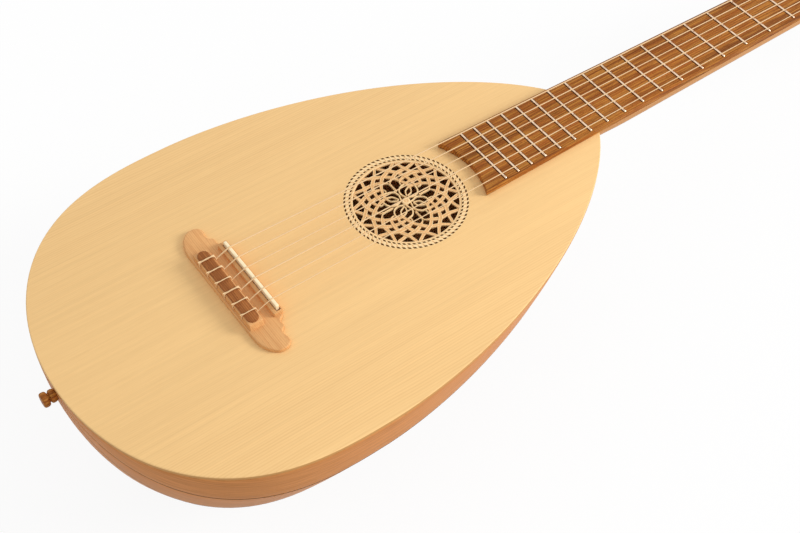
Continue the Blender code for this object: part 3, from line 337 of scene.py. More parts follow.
# What sets each finish apart, besides its colour
WOODS = {
    # Spruce's tone-1 colour is painted shade on the soundboard's upright side.
    "spruce": dict(
        dark=(0.62, 0.31, 0.10), line=0.42, ring=1.0 * MM, wide_ring=2.4 * MM, roughness=0.48, cloud=0.032,
        mirrored=True, painted_light_and_pale_inlay=(0.60, 0.30, 0.09),
    ),
    "cherry": dict(
        dark=(0.34, 0.11, 0.025), line=0.35, ring=2.6 * MM, pores=0.25, roughness=0.42, cloud=0.08,
        figure=((0.50, 0.18, 0.045), 0.45), shine=0.05,
    ),
    "maple": dict(
        dark=(0.42, 0.17, 0.05), line=0.3, ring=2.2 * MM, pores=0.22, roughness=0.42, cloud=0.06,
        figure=((0.60, 0.28, 0.09), 0.35),
    ),
    # The lattice's tone-1 colour is a painted highlight on the rosette's raised borders, rim and hub, and the
    # pale ring blocks' own colour.
    "lattice": dict(
        dark=(0.48, 0.20, 0.07), line=0.3, ring=1.2 * MM, pores=0.1, roughness=0.5,
        painted_light_and_pale_inlay=(0.95, 0.69, 0.37),
    ),
    "pear": dict(
        dark=(0.42, 0.17, 0.06), line=0.55, ring=1.5 * MM, pores=0.35, roughness=0.42, cloud=0.06,
        figure=((0.62, 0.27, 0.09), 0.4),
    ),
    "walnut": dict(
        dark=(0.085, 0.018, 0.004), line=0.95, ring=2.1 * MM, pores=0.95, roughness=0.46,
        cloud=0.36, figure=((0.64, 0.27, 0.05), 0.9), shine=0.1,
    ),
    "inlay_walnut": dict(
        dark=(0.10, 0.022, 0.006), line=0.9, ring=1.6 * MM, pores=0.95, roughness=0.46, cloud=0.2,
        figure=((0.52, 0.20, 0.06), 0.7), shine=0.05,
    ),
    "lime_wood": dict(
        dark=(0.5, 0.32, 0.16), line=0.2, ring=2.5 * MM, roughness=0.6, source="object"
    ),
}
SMOOTH = {
    "bone": dict(cloud=0.06, roughness=0.3, coat=0.1),
    "nylon": dict(cloud=0.03, roughness=0.4, shine=0.2),
    "brass": dict(cloud=0.1, roughness=0.26, metallic=1.0, grit=METAL_RELIEF),
    "fret_metal": dict(cloud=0.06, roughness=0.28, metallic=1.0, grit=METAL_RELIEF),
    "steel": dict(cloud=0.06, roughness=0.28, metallic=1.0, grit=METAL_RELIEF),
    # The strips beside the frets are painted shadow.
    "slot_filler": dict(cloud=0.3, roughness=0.7, shine=0.05),
    "dark_line": dict(cloud=0.3, roughness=0.7, shine=0.05),
}
FINISHES = {}


def fill(tree, target, **inputs):
    """Gives a node's sockets a value or another node's output; _0, _1 stand for sockets by place."""
    for key, value in inputs.items():
        socket = target.inputs[int(key[1:]) if key[1:].isdigit() else key.replace("_", " ")]
        if isinstance(value, bpy.types.NodeSocket):
            tree.links.new(value, socket)
        else:
            socket.default_value = value


def node(tree, kind, settings=None, **inputs):
    """Adds a shader node with its settings and inputs."""
    made = tree.nodes.new(kind)
    for key, value in (settings or {}).items():
        setattr(made, key, value)
    fill(tree, made, **inputs)
    return made


def reckon(tree, operation, a, b=0.0, c=0.0):
    """The output of one sum."""
    return node(tree, "ShaderNodeMath", {"operation": operation}, _0=a, _1=b, _2=c).outputs[0]


def blended(tree, share, a, b):
    """A mix of two colours."""
    settings = {"data_type": "RGBA", "clamp_factor": True}
    return node(tree, "ShaderNodeMix", settings, _0=share, _6=a, _7=b).outputs[2]


def spread(tree, value, low, high, to_low=0.0, to_high=1.0):
    """A value stretched from one range to another, and kept inside it."""
    return node(
        tree, "ShaderNodeMapRange", _0=value, _1=low, _2=high, _3=to_low, _4=to_high
    ).outputs[0]


def streaks(tree, place, cell, detail=2.0, roughness=0.5):
    """Noise drawn out along the grain."""
    along, across = cell
    scaled = node(
        tree, "ShaderNodeVectorMath", {"operation": "MULTIPLY"},
        _0=place, _1=(1 / along, 1 / across, 1 / across),
    ).outputs[0]
    return node(
        tree, "ShaderNodeTexNoise", Vector=scaled, Scale=1.0, Detail=detail, Roughness=roughness
    ).outputs[0]


def opaque(rgb, factor=1.0):
    """A colour with full alpha, made darker or lighter by a factor."""
    return (*(min(1.0, part * factor) for part in rgb), 1.0)


def new_material(name):
    """An empty material with its tree and its shader."""
    made = bpy.data.materials.new(name)
    made.use_nodes = True
    return made, made.node_tree, made.node_tree.nodes["Principled BSDF"]


def bump(tree, height, depth):
    """A fine relief."""
    return node(tree, "ShaderNodeBump", Height=height, Strength=1.0, Distance=depth).outputs[0]


def wood(name, rgb, dark, line, ring, wide_ring=0.0, pores=0.0, roughness=0.45, cloud=0.03, figure=None,
         mirrored=False, source="grain", painted_light_and_pale_inlay=None, shine=0.2):
    """Wood whose grain runs along the first number of each point's grain place.

    ring is the growth rings' spacing, and wide_ring what it grows to at a board's sides, if it does.
    line is how dark the rings' late wood is.
    pores is how dark the short vessel lines are, and figure the colour of broad streaks with their strength.
    A mirrored board is two halves of one plank. The colour for tone 1 is painted shade on the soundboard's
    side, a painted highlight on the rosette's raised parts, and the pale ring blocks' own colour.
    """
    made, tree, shader = new_material(name)
    if source == "grain":
        place = node(tree, "ShaderNodeAttribute", {"attribute_name": "grain"}).outputs["Vector"]
    else:
        place = node(tree, "ShaderNodeTexCoord").outputs["Object"]
    parts = node(tree, "ShaderNodeSeparateXYZ", _0=place)
    across = parts.outputs[1]
    if mirrored:
        across = reckon(tree, "ABSOLUTE", across)
    across = reckon(tree, "MULTIPLY_ADD", parts.outputs[2], RING_LEAN, across)

    # Growth rings, each of its own strength
    wandered = reckon(tree, "MULTIPLY_ADD", streaks(tree, place, WANDER), RING_WANDER * ring, across)
    if wide_ring:
        growth = (wide_ring / ring - 1) / HALF_WIDTH
        inside = reckon(tree, "MULTIPLY_ADD", wandered, growth, 1.0)
        phase = reckon(tree, "MULTIPLY", reckon(tree, "LOGARITHM", inside, e), 1 / (ring * growth))
    else:
        phase = reckon(tree, "DIVIDE", wandered, ring)
    turn = reckon(tree, "FRACT", phase)
    late = reckon(tree, "POWER", turn, LATE_STEEPNESS)
    late = reckon(tree, "MULTIPLY", late, spread(tree, turn, LATE_END, 1.0, 1.0, 0.0))
    strength = node(
        tree, "ShaderNodeTexWhiteNoise", {"noise_dimensions": "1D"}, W=reckon(tree, "FLOOR", phase)
    ).outputs[0]
    late = reckon(tree, "MULTIPLY", late, spread(tree, strength, 0.0, 1.0, FAINTEST, 1.0))
    if wide_ring:
        outwards = spread(tree, across, 0.2 * HALF_WIDTH, 0.8 * HALF_WIDTH, FAINTEST, 1.0)
        late = reckon(tree, "MULTIPLY", late, outwards)

    # Colour, from the broad clouds to the pores
    fibre = streaks(tree, place, FIBRE, 3.0, 0.65)
    band = streaks(tree, place, BAND)
    broad = streaks(tree, place, CLOUD, 1.0)
    broad = reckon(tree, "MULTIPLY", broad, 1 - BAND_SHARE)
    patch = reckon(tree, "MULTIPLY_ADD", band, BAND_SHARE, broad)
    base = blended(tree, spread(tree, patch, 0.36, 0.64), opaque(rgb, 1 - cloud), opaque(rgb, 1 + cloud))
    if figure:
        tint, share = figure
        flame = streaks(tree, place, FLAME, 3.0, 0.65)
        base = blended(tree, spread(tree, flame, 0.46, 0.60, 0.0, share), base, opaque(tint))
    base = blended(tree, reckon(tree, "MULTIPLY", late, line), base, opaque(dark))
    base = blended(tree, spread(tree, fibre, 0.4, 0.75, 0.0, 0.4 * line), base, opaque(dark))
    height = fibre
    if pores:
        vessel = spread(tree, streaks(tree, place, VESSEL, 1.0), 0.62, 0.74)
        base = blended(tree, reckon(tree, "MULTIPLY", vessel, pores), base, opaque(dark, 0.55))
        height = reckon(tree, "MULTIPLY_ADD", vessel, -0.6, fibre)
    # Painted light where the mesh's tone is 1: shade on the soundboard's side, highlights on the rosette's
    # raised borders, rim and hub; the pale ring blocks get their own colour here too.
    if painted_light_and_pale_inlay:
        tone = node(tree, "ShaderNodeAttribute", {"attribute_name": "tone"}).outputs["Fac"]
        base = blended(tree, tone, base, opaque(painted_light_and_pale_inlay))
    gloss = spread(tree, fibre, 0.3, 0.7, roughness - 0.05, roughness + 0.06)
    relief = bump(tree, height, WOOD_RELIEF)
    fill(tree, shader, Base_Color=base, Roughness=gloss, Specular_IOR_Level=shine, Normal=relief)
    return made


def smooth_stuff(name, rgb, cloud, roughness, metallic=0.0, coat=0.0, grit=0.0, shine=0.5):
    """Bone, nylon, metal, dark filler and the painted shadow beside the frets: a clouded colour and a fine,
    even surface.
    """
    made, tree, shader = new_material(name)
    place = node(tree, "ShaderNodeTexCoord").outputs["Object"]
    clouds = node(tree, "ShaderNodeTexNoise", Vector=place, Scale=CLOUDING, Detail=3.0).outputs[0]
    rub = node(tree, "ShaderNodeTexNoise", Vector=place, Scale=RUBBING, Detail=2.0).outputs[0]
    tint = blended(tree, spread(tree, clouds, 0.35, 0.65), opaque(rgb, 1 - cloud), opaque(rgb))
    gloss = spread(tree, rub, 0.3, 0.7, roughness - 0.05, roughness + 0.07)
    fill(tree, shader, Base_Color=tint, Roughness=gloss, Metallic=metallic, Coat_Weight=coat)
    fill(tree, shader, Specular_IOR_Level=shine)
    if grit:
        fill(tree, shader, Normal=bump(tree, rub, grit))
    return made


def finish(name):
    """A finish by its name, made once."""
    if name not in FINISHES:
        rgb = getattr(bpy.context.scene.lute_finish, name)
        make, look = (wood, WOODS[name]) if name in WOODS else (smooth_stuff, SMOOTH[name])
        FINISHES[name] = make(f"{name}_finish", rgb, **look)
    return FINISHES[name]


# Shapes

class Shape:
    """Points, faces and grain places gathered for one mesh. Grain's first number runs along the fibres."""

    def __init__(self, part=((), ()), grain=None, tones=None):
        self.points, self.faces, self.grain, self.tones = [], [], [], []
        self.add(part, grain, tones)

    def add(self, part, grain=None, tones=None):
        """Adds points and faces; the grain is a place for each point, or the points themselves."""
        points, faces = part
        start = len(self.points)
        points = [Vector(point) for point in points]
        self.points += points
        self.faces += [tuple(start + k for k in face) for face in faces]
        self.grain += [Vector(place) for place in grain] if grain is not None else points
        self.tones += tones if tones else [0.0] * len(points)


def moved(part, matrix):
    """A part's points taken through a matrix."""
    points, faces = part
    return [matrix @ Vector(point) for point in points], faces


def arc(steps, start=0.0, end=pi):
    """Even steps from start to end, of half a turn if none is given."""
    return [start + (end - start) * k / steps for k in range(steps + 1)]


def eased(share):
    """A share from 0 to 1 with a soft start and end."""
    share = min(1.0, max(0.0, share))
    return share * share * (3 - 2 * share)


def reflected(run, flip=(1, -1)):
    """A run of points mirrored and in reverse, to close a plan or a section."""
    return [(a * flip[0], b * flip[1]) for a, b in reversed(run)]


def circle(radius, count, x=0.0, y=0.0):
    """Points round a circle."""
    return [(x + radius * cos(t), y + radius * sin(t)) for t in arc(count, 0.0, 2 * pi)[:-1]]


def rectangle(x0, y0, x1, y1, radius=0.0, steps=4):
    """A rectangle, with round corners if it has a radius."""
    if not radius:
        return [(x0, y0), (x1, y0), (x1, y1), (x0, y1)]
    left, right, near, far = x0 + radius, x1 - radius, y0 + radius, y1 - radius
    points = []
    for quarter, (x, y) in enumerate(((right, far), (left, far), (left, near), (right, near))):
        turns = arc(steps, pi / 2 * quarter, pi / 2 * (quarter + 1))
        points += [(x + radius * cos(t), y + radius * sin(t)) for t in turns]
    return points


def curve_through(points, steps):
    """A smooth curve through points, with a number of steps between each two."""
    places = [Vector(point) for point in points]
    padded = [2 * places[0] - places[1], *places, 2 * places[-1] - places[-2]]
    made = []
    for before, a, b, after in zip(padded, padded[1:], padded[2:], padded[3:]):
        for t in (k / steps for k in range(steps)):
            made.append(
                0.5 * (2 * a + (b - before) * t + (2 * before - 5 * a + 4 * b - after) * t ** 2
                       + (3 * a - before - 3 * b + after) * t ** 3)
            )
    return made + [places[-1]]


def skin(rings, caps=True):
    """A closed skin over rings of equal count."""
    count = len(rings[0])
    points = [point for ring in rings for point in ring]
    faces = []
    for row in range(len(rings) - 1):
        for k in range(count):
            a, b = row * count + k, row * count + (k + 1) % count
            faces.append((a, b, b + count, a + count))
    if caps:
        faces.append(tuple(range(count)))
        faces.append(tuple(range(len(points) - count, len(points))))
    return points, faces


def turned(profile, steps=32):
    """A shape turned about z from radii and heights."""
    return skin([[(x, y, height) for x, y in circle(radius, steps)] for radius, height in profile])


def sweep(path, sections, up=None):
    """A skin over a section carried along a path; each section, or the one for all, is across and up."""
    path = [Vector(point) for point in path]
    rings, side = [], None
    for k, point in enumerate(path):
        ahead = (path[min(k + 1, len(path) - 1)] - path[max(k - 1, 0)]).normalized()
        if up is not None:
            side = ahead.cross(Vector(up)).normalized()
        elif side is None:
            side = ahead.orthogonal().normalized()
        else:
            side = (side - ahead * side.dot(ahead)).normalized()
        over = side.cross(ahead)
        section = sections[k] if isinstance(sections[0], list) else sections
        rings.append([point + side * a + over * b for a, b in section])
    return skin(rings)


def run_left(loop, outer):
    """A loop as vectors, so that the material lies to the left of its direction."""
    loop = [Vector(point) for point in loop]
    area = sum(a.x * b.y - b.x * a.y for a, b in zip(loop, loop[1:] + loop[:1]))
    return loop if (area > 0) == outer else loop[::-1]


def inset_loop(loop, distance):
    """A loop moved to the left of its own direction by its corners' bisectors."""
    made = []
    for before, point, after in zip(loop[-1:] + loop, loop, loop[1:] + loop[:1]):
        first, second = (
            Vector((-side.y, side.x)).normalized() for side in (point - before, after - point)
        )
        reach = (first + second) / max(0.35, 1 + first.dot(second))
        made.append(point + reach * distance)
    return made


def plate(outer, levels, holes=()):
    """A flat piece with holes: its loops carried up through levels of inset and height."""
    loops = [run_left(outer, True)] + [run_left(hole, False) for hole in holes]
    points, faces = [], []
    counts = [len(loop) for loop in loops]
    total = sum(counts)
    for inset, height in levels:
        for loop in loops:
            points += [(p.x, p.y, height) for p in inset_loop(loop, inset)]
    for row in range(len(levels) - 1):
        start = row * total
        for count in counts:
            for k in range(count):
                a, b = start + k, start + (k + 1) % count
                faces.append((a, b, b + total, a + total))
            start += count
    for row in (0, len(levels) - 1):
        flat, start = [], row * total
        for count in counts:
            flat.append([Vector(point) for point in points[start:start + count]])
            start += count
        faces += [tuple(row * total + k for k in face) for face in tessellate_polygon(flat)]
    return points, faces


def rounded(low, high, radius, bottom=True, steps=3):
    """Levels of a plate with quarter-round edges."""
    top = [(radius * (1 - cos(t)), high - radius * (1 - sin(t))) for t in arc(steps, 0.0, pi / 2)]
    if not bottom:
        return [(0.0, low)] + top
    return [(inset, low + high - height) for inset, height in reversed(top)] + top


def mesh_of(name, shape):
    """A mesh of a shape, its faces turned outwards."""
    mesh = bpy.data.meshes.new(name)
    mesh.from_pydata([tuple(p) for p in shape.points], [], shape.faces)
    bm = bmesh.new()
    bm.from_mesh(mesh)
    bmesh.ops.recalc_face_normals(bm, faces=bm.faces)
    bm.to_mesh(mesh)
    bm.free()
    return mesh


def placed(name, data):
    """A new object in the scene."""
    made = bpy.data.objects.new(name, data)
    bpy.context.scene.collection.objects.link(made)
    return made


def piece(name, shape, stuff, body="root", place=SADDLE_FRAME, cad=None, sharp=35,
          shift=(0, 0, 0)):
    """A finished piece of the object: its mesh, finish, body and the node of the frame it stands for.

    shift moves its grain, so that two pieces don't have the same.
    """
    mesh = mesh_of(name, shape)
    grain = mesh.attributes.new("grain", "FLOAT_VECTOR", "POINT")
    places = np.array([tuple(g) for g in shape.grain], np.float32) + np.array(shift, np.float32)
    grain.data.foreach_set("vector", places.ravel())
    if any(shape.tones):
        mesh.attributes.new("tone", "FLOAT", "POINT").data.foreach_set("value", shape.tones)
    mesh.shade_smooth()
    mesh.set_sharp_from_angle(angle=radians(sharp))
    mesh.materials.append(finish(stuff))
    made = placed(name, mesh)
    made.matrix_world = place
    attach(made, body)
    if cad:
        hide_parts(cad)


def cut(shape, cutters):
    """A shape with other shapes taken out of it."""
    meshes = [mesh_of(f"cut_{number}", part) for number, part in enumerate((shape, cutters))]
    things = [placed(mesh.name, mesh) for mesh in meshes]
    step = things[0].modifiers.new("cut", "BOOLEAN")
    step.operation = "DIFFERENCE"
    step.object = things[1]
    bpy.context.view_layer.update()
    graph = bpy.context.evaluated_depsgraph_get()
    result = bpy.data.meshes.new_from_object(things[0].evaluated_get(graph))
    made = Shape(([v.co.copy() for v in result.vertices], [tuple(f.vertices) for f in result.polygons]))
    for thing in things:
        bpy.data.objects.remove(thing, do_unlink=True)
    for mesh in (*meshes, result):
        bpy.data.meshes.remove(mesh)
    return made


# Body

def body_curve(angle, inset=0.0):
    """Place along the body and half width there, for an angle from -90 at the tail to 90 at the neck."""
    if angle < 0:
        reach, sign, powers = TAIL_LENGTH + WIDEST_X - inset, -1, TAIL_CURVE
    else:
        reach, sign, powers = NECK_TIP_X - WIDEST_X - inset, 1, NECK_CURVE
    along = abs(sin(angle)) ** (2 / powers[0])
    across = max(cos(angle), 0.0) ** (2 / powers[1])
    return WIDEST_X + sign * reach * along, (HALF_WIDTH - inset) * across


FIRST_STATION = -acos((RIB_END_HALF_WIDTH / HALF_WIDTH) ** (TAIL_CURVE[1] / 2))
LAST_STATION = asin(((JOINT_X - WIDEST_X) / (NECK_TIP_X - WIDEST_X)) ** (NECK_CURVE[0] / 2))
HEEL_HALF_WIDTH = body_curve(LAST_STATION)[1]


def keel_ratio(x):
    """Depth of the bowl's section over its half width."""
    ratio = BOWL_DEPTH / HALF_WIDTH
    if x > WIDEST_X:
        return ratio - KEEL_FALL_TO_NECK * (x - WIDEST_X) / (NECK_TIP_X - WIDEST_X)
    return ratio + KEEL_RISE_TO_TAIL * (WIDEST_X - x) / (TAIL_LENGTH + WIDEST_X)


def bowl_point(angle, turn, inset=0.0):
    """A point of the bowl: turn goes from 0 at the left rim to pi at the right rim, under the keel."""
    x, half_width = body_curve(angle, inset)
    radius = half_width / hypot(cos(turn), sin(turn) / keel_ratio(body_curve(angle)[0]))
    return Vector((x, radius * cos(turn), RIM_Z - radius * sin(turn)))


def rib_edges():
    """The turns at which one rib ends and the next starts."""
    return [0.0, *arc(RIB_COUNT - 2, SIDE_RIB_ANGLE, pi - SIDE_RIB_ANGLE), pi]


def body_outline():
    """The body seen from above, cut square at the neck joint."""
    half = [body_curve(angle) for angle in arc(84, -pi / 2, LAST_STATION)]
    half[-1] = (JOINT_X, half[-1][1])
    return half + reflected([place for place in half if place[1] > 0.1 * MM])


class LUTE_OT_soundboard(bpy.types.Operator):
    """Make the spruce top with its rounded edge and the hole for the rosette."""
    bl_idname = "lute_guitar.soundboard"
    bl_label = "Soundboard"

    def execute(self, context):
        edge = context.scene.lute_body.top_rounding
        board = plate(body_outline(), rounded(-TOP_THICKNESS, 0.0, edge, bottom=False))
        hole = circle(ROSETTE_RADIUS + GAP / 3, 96, ROSETTE_X)
        shape = cut(Shape(board), Shape(plate(hole, [(0, -2 * TOP_THICKNESS), (0, TOP_THICKNESS)])))
        # Painted shade: the board's upright side below its rounding takes the darker colour.
        shape.tones = [1.0 if point.z < -0.99 * edge else 0.0 for point in shape.points]
        piece("soundboard_top", shape, "spruce", cad="soundboard", sharp=30)
        return {"FINISHED"}


class LUTE_OT_ribs(bpy.types.Operator):
    """Make the bowl's bent ribs, the dark lines between them and the patch behind the end button."""
    bl_idname = "lute_guitar.ribs"
    bl_label = "Ribs"

    def execute(self, context):
        sizes = context.scene.lute_body
        edges, angles = rib_edges(), arc(72, FIRST_STATION, LAST_STATION)
        for number, (first, last) in enumerate(zip(edges, edges[1:]), 1):
            self.make_rib(number, first, last, angles, sizes)
        lines = Shape()
        half, low, high = sizes.joint_line / 2, -RIB_THICKNESS, -PROUD
        for turn in edges[1:-1]:
            rings = []
            for angle in angles:
                point = bowl_point(angle, turn)
                out = (point - bowl_point(angle, turn, RIB_THICKNESS)).normalized()
                side = Vector((0, -sin(turn), -cos(turn)))
                side = (side - out * side.dot(out)).normalized()
                rings.append([point + side * a + out * b for a, b in rectangle(-half, low, half, high)])
            lines.add(skin(rings))
        piece("rib_joint_lines", lines, "dark_line")
        self.make_patch()
        return {"FINISHED"}

    def make_rib(self, number, first, last, angles, sizes):
        """One rib, flat across with a slight crown and eased edges."""
        shares = [1 - k / 6 for k in range(7)]
        rings, grain, travel = [], [], 0.0
        for angle in angles:
            a, b = bowl_point(angle, first), bowl_point(angle, last)
            a_in, b_in = bowl_point(angle, first, RIB_THICKNESS), bowl_point(angle, last, RIB_THICKNESS)
            width = (b - a).length
            trim = (b - a).normalized() * sizes.joint_line / 2
            a, b, a_in, b_in = a + trim, b - trim, a_in + trim, b_in - trim
            out = ((a - a_in) + (b - b_in)).normalized()
            crown = out * sizes.rib_crown * min(1.0, width / FULL_CROWN_WIDTH)
            face = []
            for share in shares:
                flat = a.lerp(b, RIB_EDGE_EASE + (1 - 2 * RIB_EDGE_EASE) * share)
                face.append(flat + crown * (1 - (2 * share - 1) ** 2))
            middle = (a + b) / 2
            if rings:
                travel += (middle - before).length
            before = middle
            rings.append([a_in, b_in, b_in.lerp(b, 0.9), *face, a_in.lerp(a, 0.9)])
            grain += [(travel, width * share, 0.0) for share in (0, 1, 1, *shares, 0)]
        name = f"rib_{number:02d}"
        shift = (0.31 * number, 0.047 * number, 0)
        piece(f"{name}_strip", Shape(skin(rings), grain), "cherry", cad=name, sharp=50, shift=shift)

    def make_patch(self):
        """The small half-round patch that closes the ribs' ends at the tail."""
        x = body_curve(FIRST_STATION)[0]
        radius = RIB_END_HALF_WIDTH
        half = [(radius * cos(t), RIM_Z - radius * sin(t) * keel_ratio(x)) for t in arc(20)]
        part = skin([[(place, y, z) for y, z in half] for place in (x - 0.2 * MM, x + 1.2 * MM)])
        piece("tail_patch", Shape(part, [(y, z, 0) for _, y, z in part[0]]), "cherry")


class LUTE_OT_inside(bpy.types.Operator):
    """Give the bars and blocks inside the bowl their plain wood."""
    bl_idname = "lute_guitar.inside"
    bl_label = "Bars and blocks"

    def execute(self, context):
        for name in [f"top_bar_{number}" for number in range(1, 6)] + ["neck_block", "tail_block"]:
            block = frame["nodes"][name]
            block.data.materials.clear()
            block.data.materials.append(finish("lime_wood"))
        return {"FINISHED"}


class LUTE_OT_end_button(bpy.types.Operator):
    """Make the turned button at the tail."""
    bl_idname = "lute_guitar.end_button"
    bl_label = "End button"

    def execute(self, context):
        base, groove, knob, stem = 5.1 * MM, 3.5 * MM, 5.75 * MM, 2.6 * MM
        reach = TOP_LOW.x - GAP - BUTTON_LOW.x
        buried = BUTTON_HIGH.x - BUTTON_LOW.x - reach
        outline = [
            (0.35 * knob, 0.955), (0.62 * knob, 0.985), (0.8 * knob, 0.99), (0.92 * knob, 0.955),
            (0.985 * knob, 0.88), (knob, 0.77), (0.985 * knob, 0.67), (0.93 * knob, 0.59),
            (0.82 * knob, 0.535), (groove, 0.50), (0.97 * groove, 0.47), (groove, 0.44),
            (0.84 * base, 0.41), (0.95 * base, 0.36),
            (base, 0.28), (0.99 * base, 0.16), (0.93 * base, 0.06), (0.88 * base, 0.0),
        ]
        profile = [(radius, height * reach) for radius, height in outline]
        part = turned([*profile, (stem, 0.0), (stem, -buried)], 40)
        foot = Vector((TOP_LOW.x - GAP, 0, (BUTTON_LOW.z + BUTTON_HIGH.z) / 2))
        turn = Matrix.Translation(foot) @ Matrix.Rotation(-pi / 2, 4, "Y")
        shape = Shape(moved(part, turn), [(z, x, y) for x, y, z in part[0]])
        piece("end_button_turned", shape, "walnut", cad="end_button", sharp=45, shift=(0.4, 0.13, 0))
        return {"FINISHED"}


# Rosette, its drawing in millimetres from its middle

CIRCLE_OUT = 20.0               # rosette's middle to the middle of each strand's circle
CIRCLE_RADIUS = 30.2
CIRCLE_FROM = 31.4              # the distance from which a strand keeps to its circle
RIM_RUN = ((41.9, 1.1), (40.0, 2.3), (38.0, 3.75), (36.0, 5.1), (34.2, 6.9))
CROSSINGS = (3.5, 6.5, 9.5, 13.0, 16.2, 19.0, 22.6, 26.9, 31.4, 34.9, 42.0)
WIDTH_RADII = (23.0, 27.0, 31.0, 34.5, 36.5, 41.0)
WIDTHS = (2.15, 2.5, 2.85, 2.75, 2.25, 2.2)

# Each strand of an eighth: its circle's turn, the distance at which it leaves that circle, the width it ends
# with, the distances between which it narrows to that, and the points of its end
STRANDS = {
    "ring": (
        0, 24.0, 1.05, (24.0, 15.5),
        ((12.5, 16), (7.5, 15.3), (4.5, 14.5), (1.9, 12), (0.9, 8.5), (2.0, 4.6), (2.3, 2.3)),
    ),
    "lens": (-22.5, 16.6, 0.9, (18.0, 13.0), ((9, 10.8), (6, 9.2), (4.6, 6.6), (3.9, 4.4))),
    "petal": (22.5, 26.0, 0.8, (25.5, 20.5), ((12.5, 21.9), (9.0, 21), (7.4, 19), (7.2, 16.5))),
    "axis": (45, 28.8, 0.6, (27.5, 23.0), ((4.0, 25.6), (1.7, 24), (0.42, 22), (0.42, 12.6))),
}
# How much of the painted highlight each point of a strand's section has: the raised borders are painted pale,
# and the lower bed keeps the darker colour as painted shade
STRAND_HIGHLIGHTS = (0.0, 0.0, 0.7, 1.0, 1.0, 0.0, 0.0, 0.0, 1.0, 1.0, 0.7)
STRAND_FIBRE = 0.05 * MM        # what those points lie apart across the grain
# Narrow strands have no shaded bed, so they take the painted highlight all across.
THIN_SPAN = 0.8                 # how much wider than its end a strand is where its bed turns pale

# Inlaid rings: radius, width, and each block's start, share of the pitch and look
DASHES = ((0.0, 0.6, "dark"), (0.6, 0.4, "pale"))
RINGS = (
    (44.3, 1.3, DASHES),
    (48.3, 1.4, DASHES),
    (46.3, 2.4, ((0.1, 0.75, "pale"), (0.1, -0.25, "tan"))),
)
BLOCK_LEAN = 0.3                # of the pitch, by which a block's outer side runs on
LET_IN = 0.6 * MM               # how deep the blocks go into the soundboard


def strand_path(turn, leave, end):
    """A strand's way from the rim along its circle and then to its end."""
    run = [Vector(point) for point in RIM_RUN]
    for k in range(9):
        radius = CIRCLE_FROM + (leave - CIRCLE_FROM) * k / 8
        cosine = (radius ** 2 + CIRCLE_OUT ** 2 - CIRCLE_RADIUS ** 2) / (2 * radius * CIRCLE_OUT)
        angle = acos(cosine) - radians(45)
        run.append(Vector((radius * cos(angle), radius * sin(angle))))
    turned_run = [Matrix.Rotation(radians(turn), 2) @ point for point in run]
    return curve_through(turned_run + [Vector(point) for point in end], 4)


def strand_width(radius, ending, span):
    """A strand's width at a distance from the middle."""
    width = float(np.interp(radius, WIDTH_RADII, WIDTHS))
    return width + (ending - width) * eased((span[0] - radius) / (span[0] - span[1]))


def strand_section(width, sizes):
    """A strand's section: raised borders beside a shallow bed with a slight crown."""
    half, bottom, rise = width / 2, -sizes.strand_thickness, sizes.border
    border, ease = 0.15 * width, 0.12 * MM
    right = [(half, -ease), (half - ease, 0), (half - border, 0), (half - border - ease, -rise)]
    left = reflected(right, (-1, 1))
    return [(-half, bottom), (half, bottom), *right, (0, -0.8 * rise), *left]


def strand_point(place, quarter, hand, sizes):
    """A strand's point in a quarter of the lattice, mirrored for hand -1, with its rise over a crossing."""
    order = float(np.interp(place.length, CROSSINGS, range(len(CROSSINGS))[::-1]))
    flat = Matrix.Rotation(pi / 2 * quarter, 2) @ (place if hand > 0 else place.yx) * MM
    lift = sizes.weave * (hand * cos(pi * order) - 1)
    return ROSETTE_X + flat.x, flat.y, ROSETTE_HIGH.z + lift


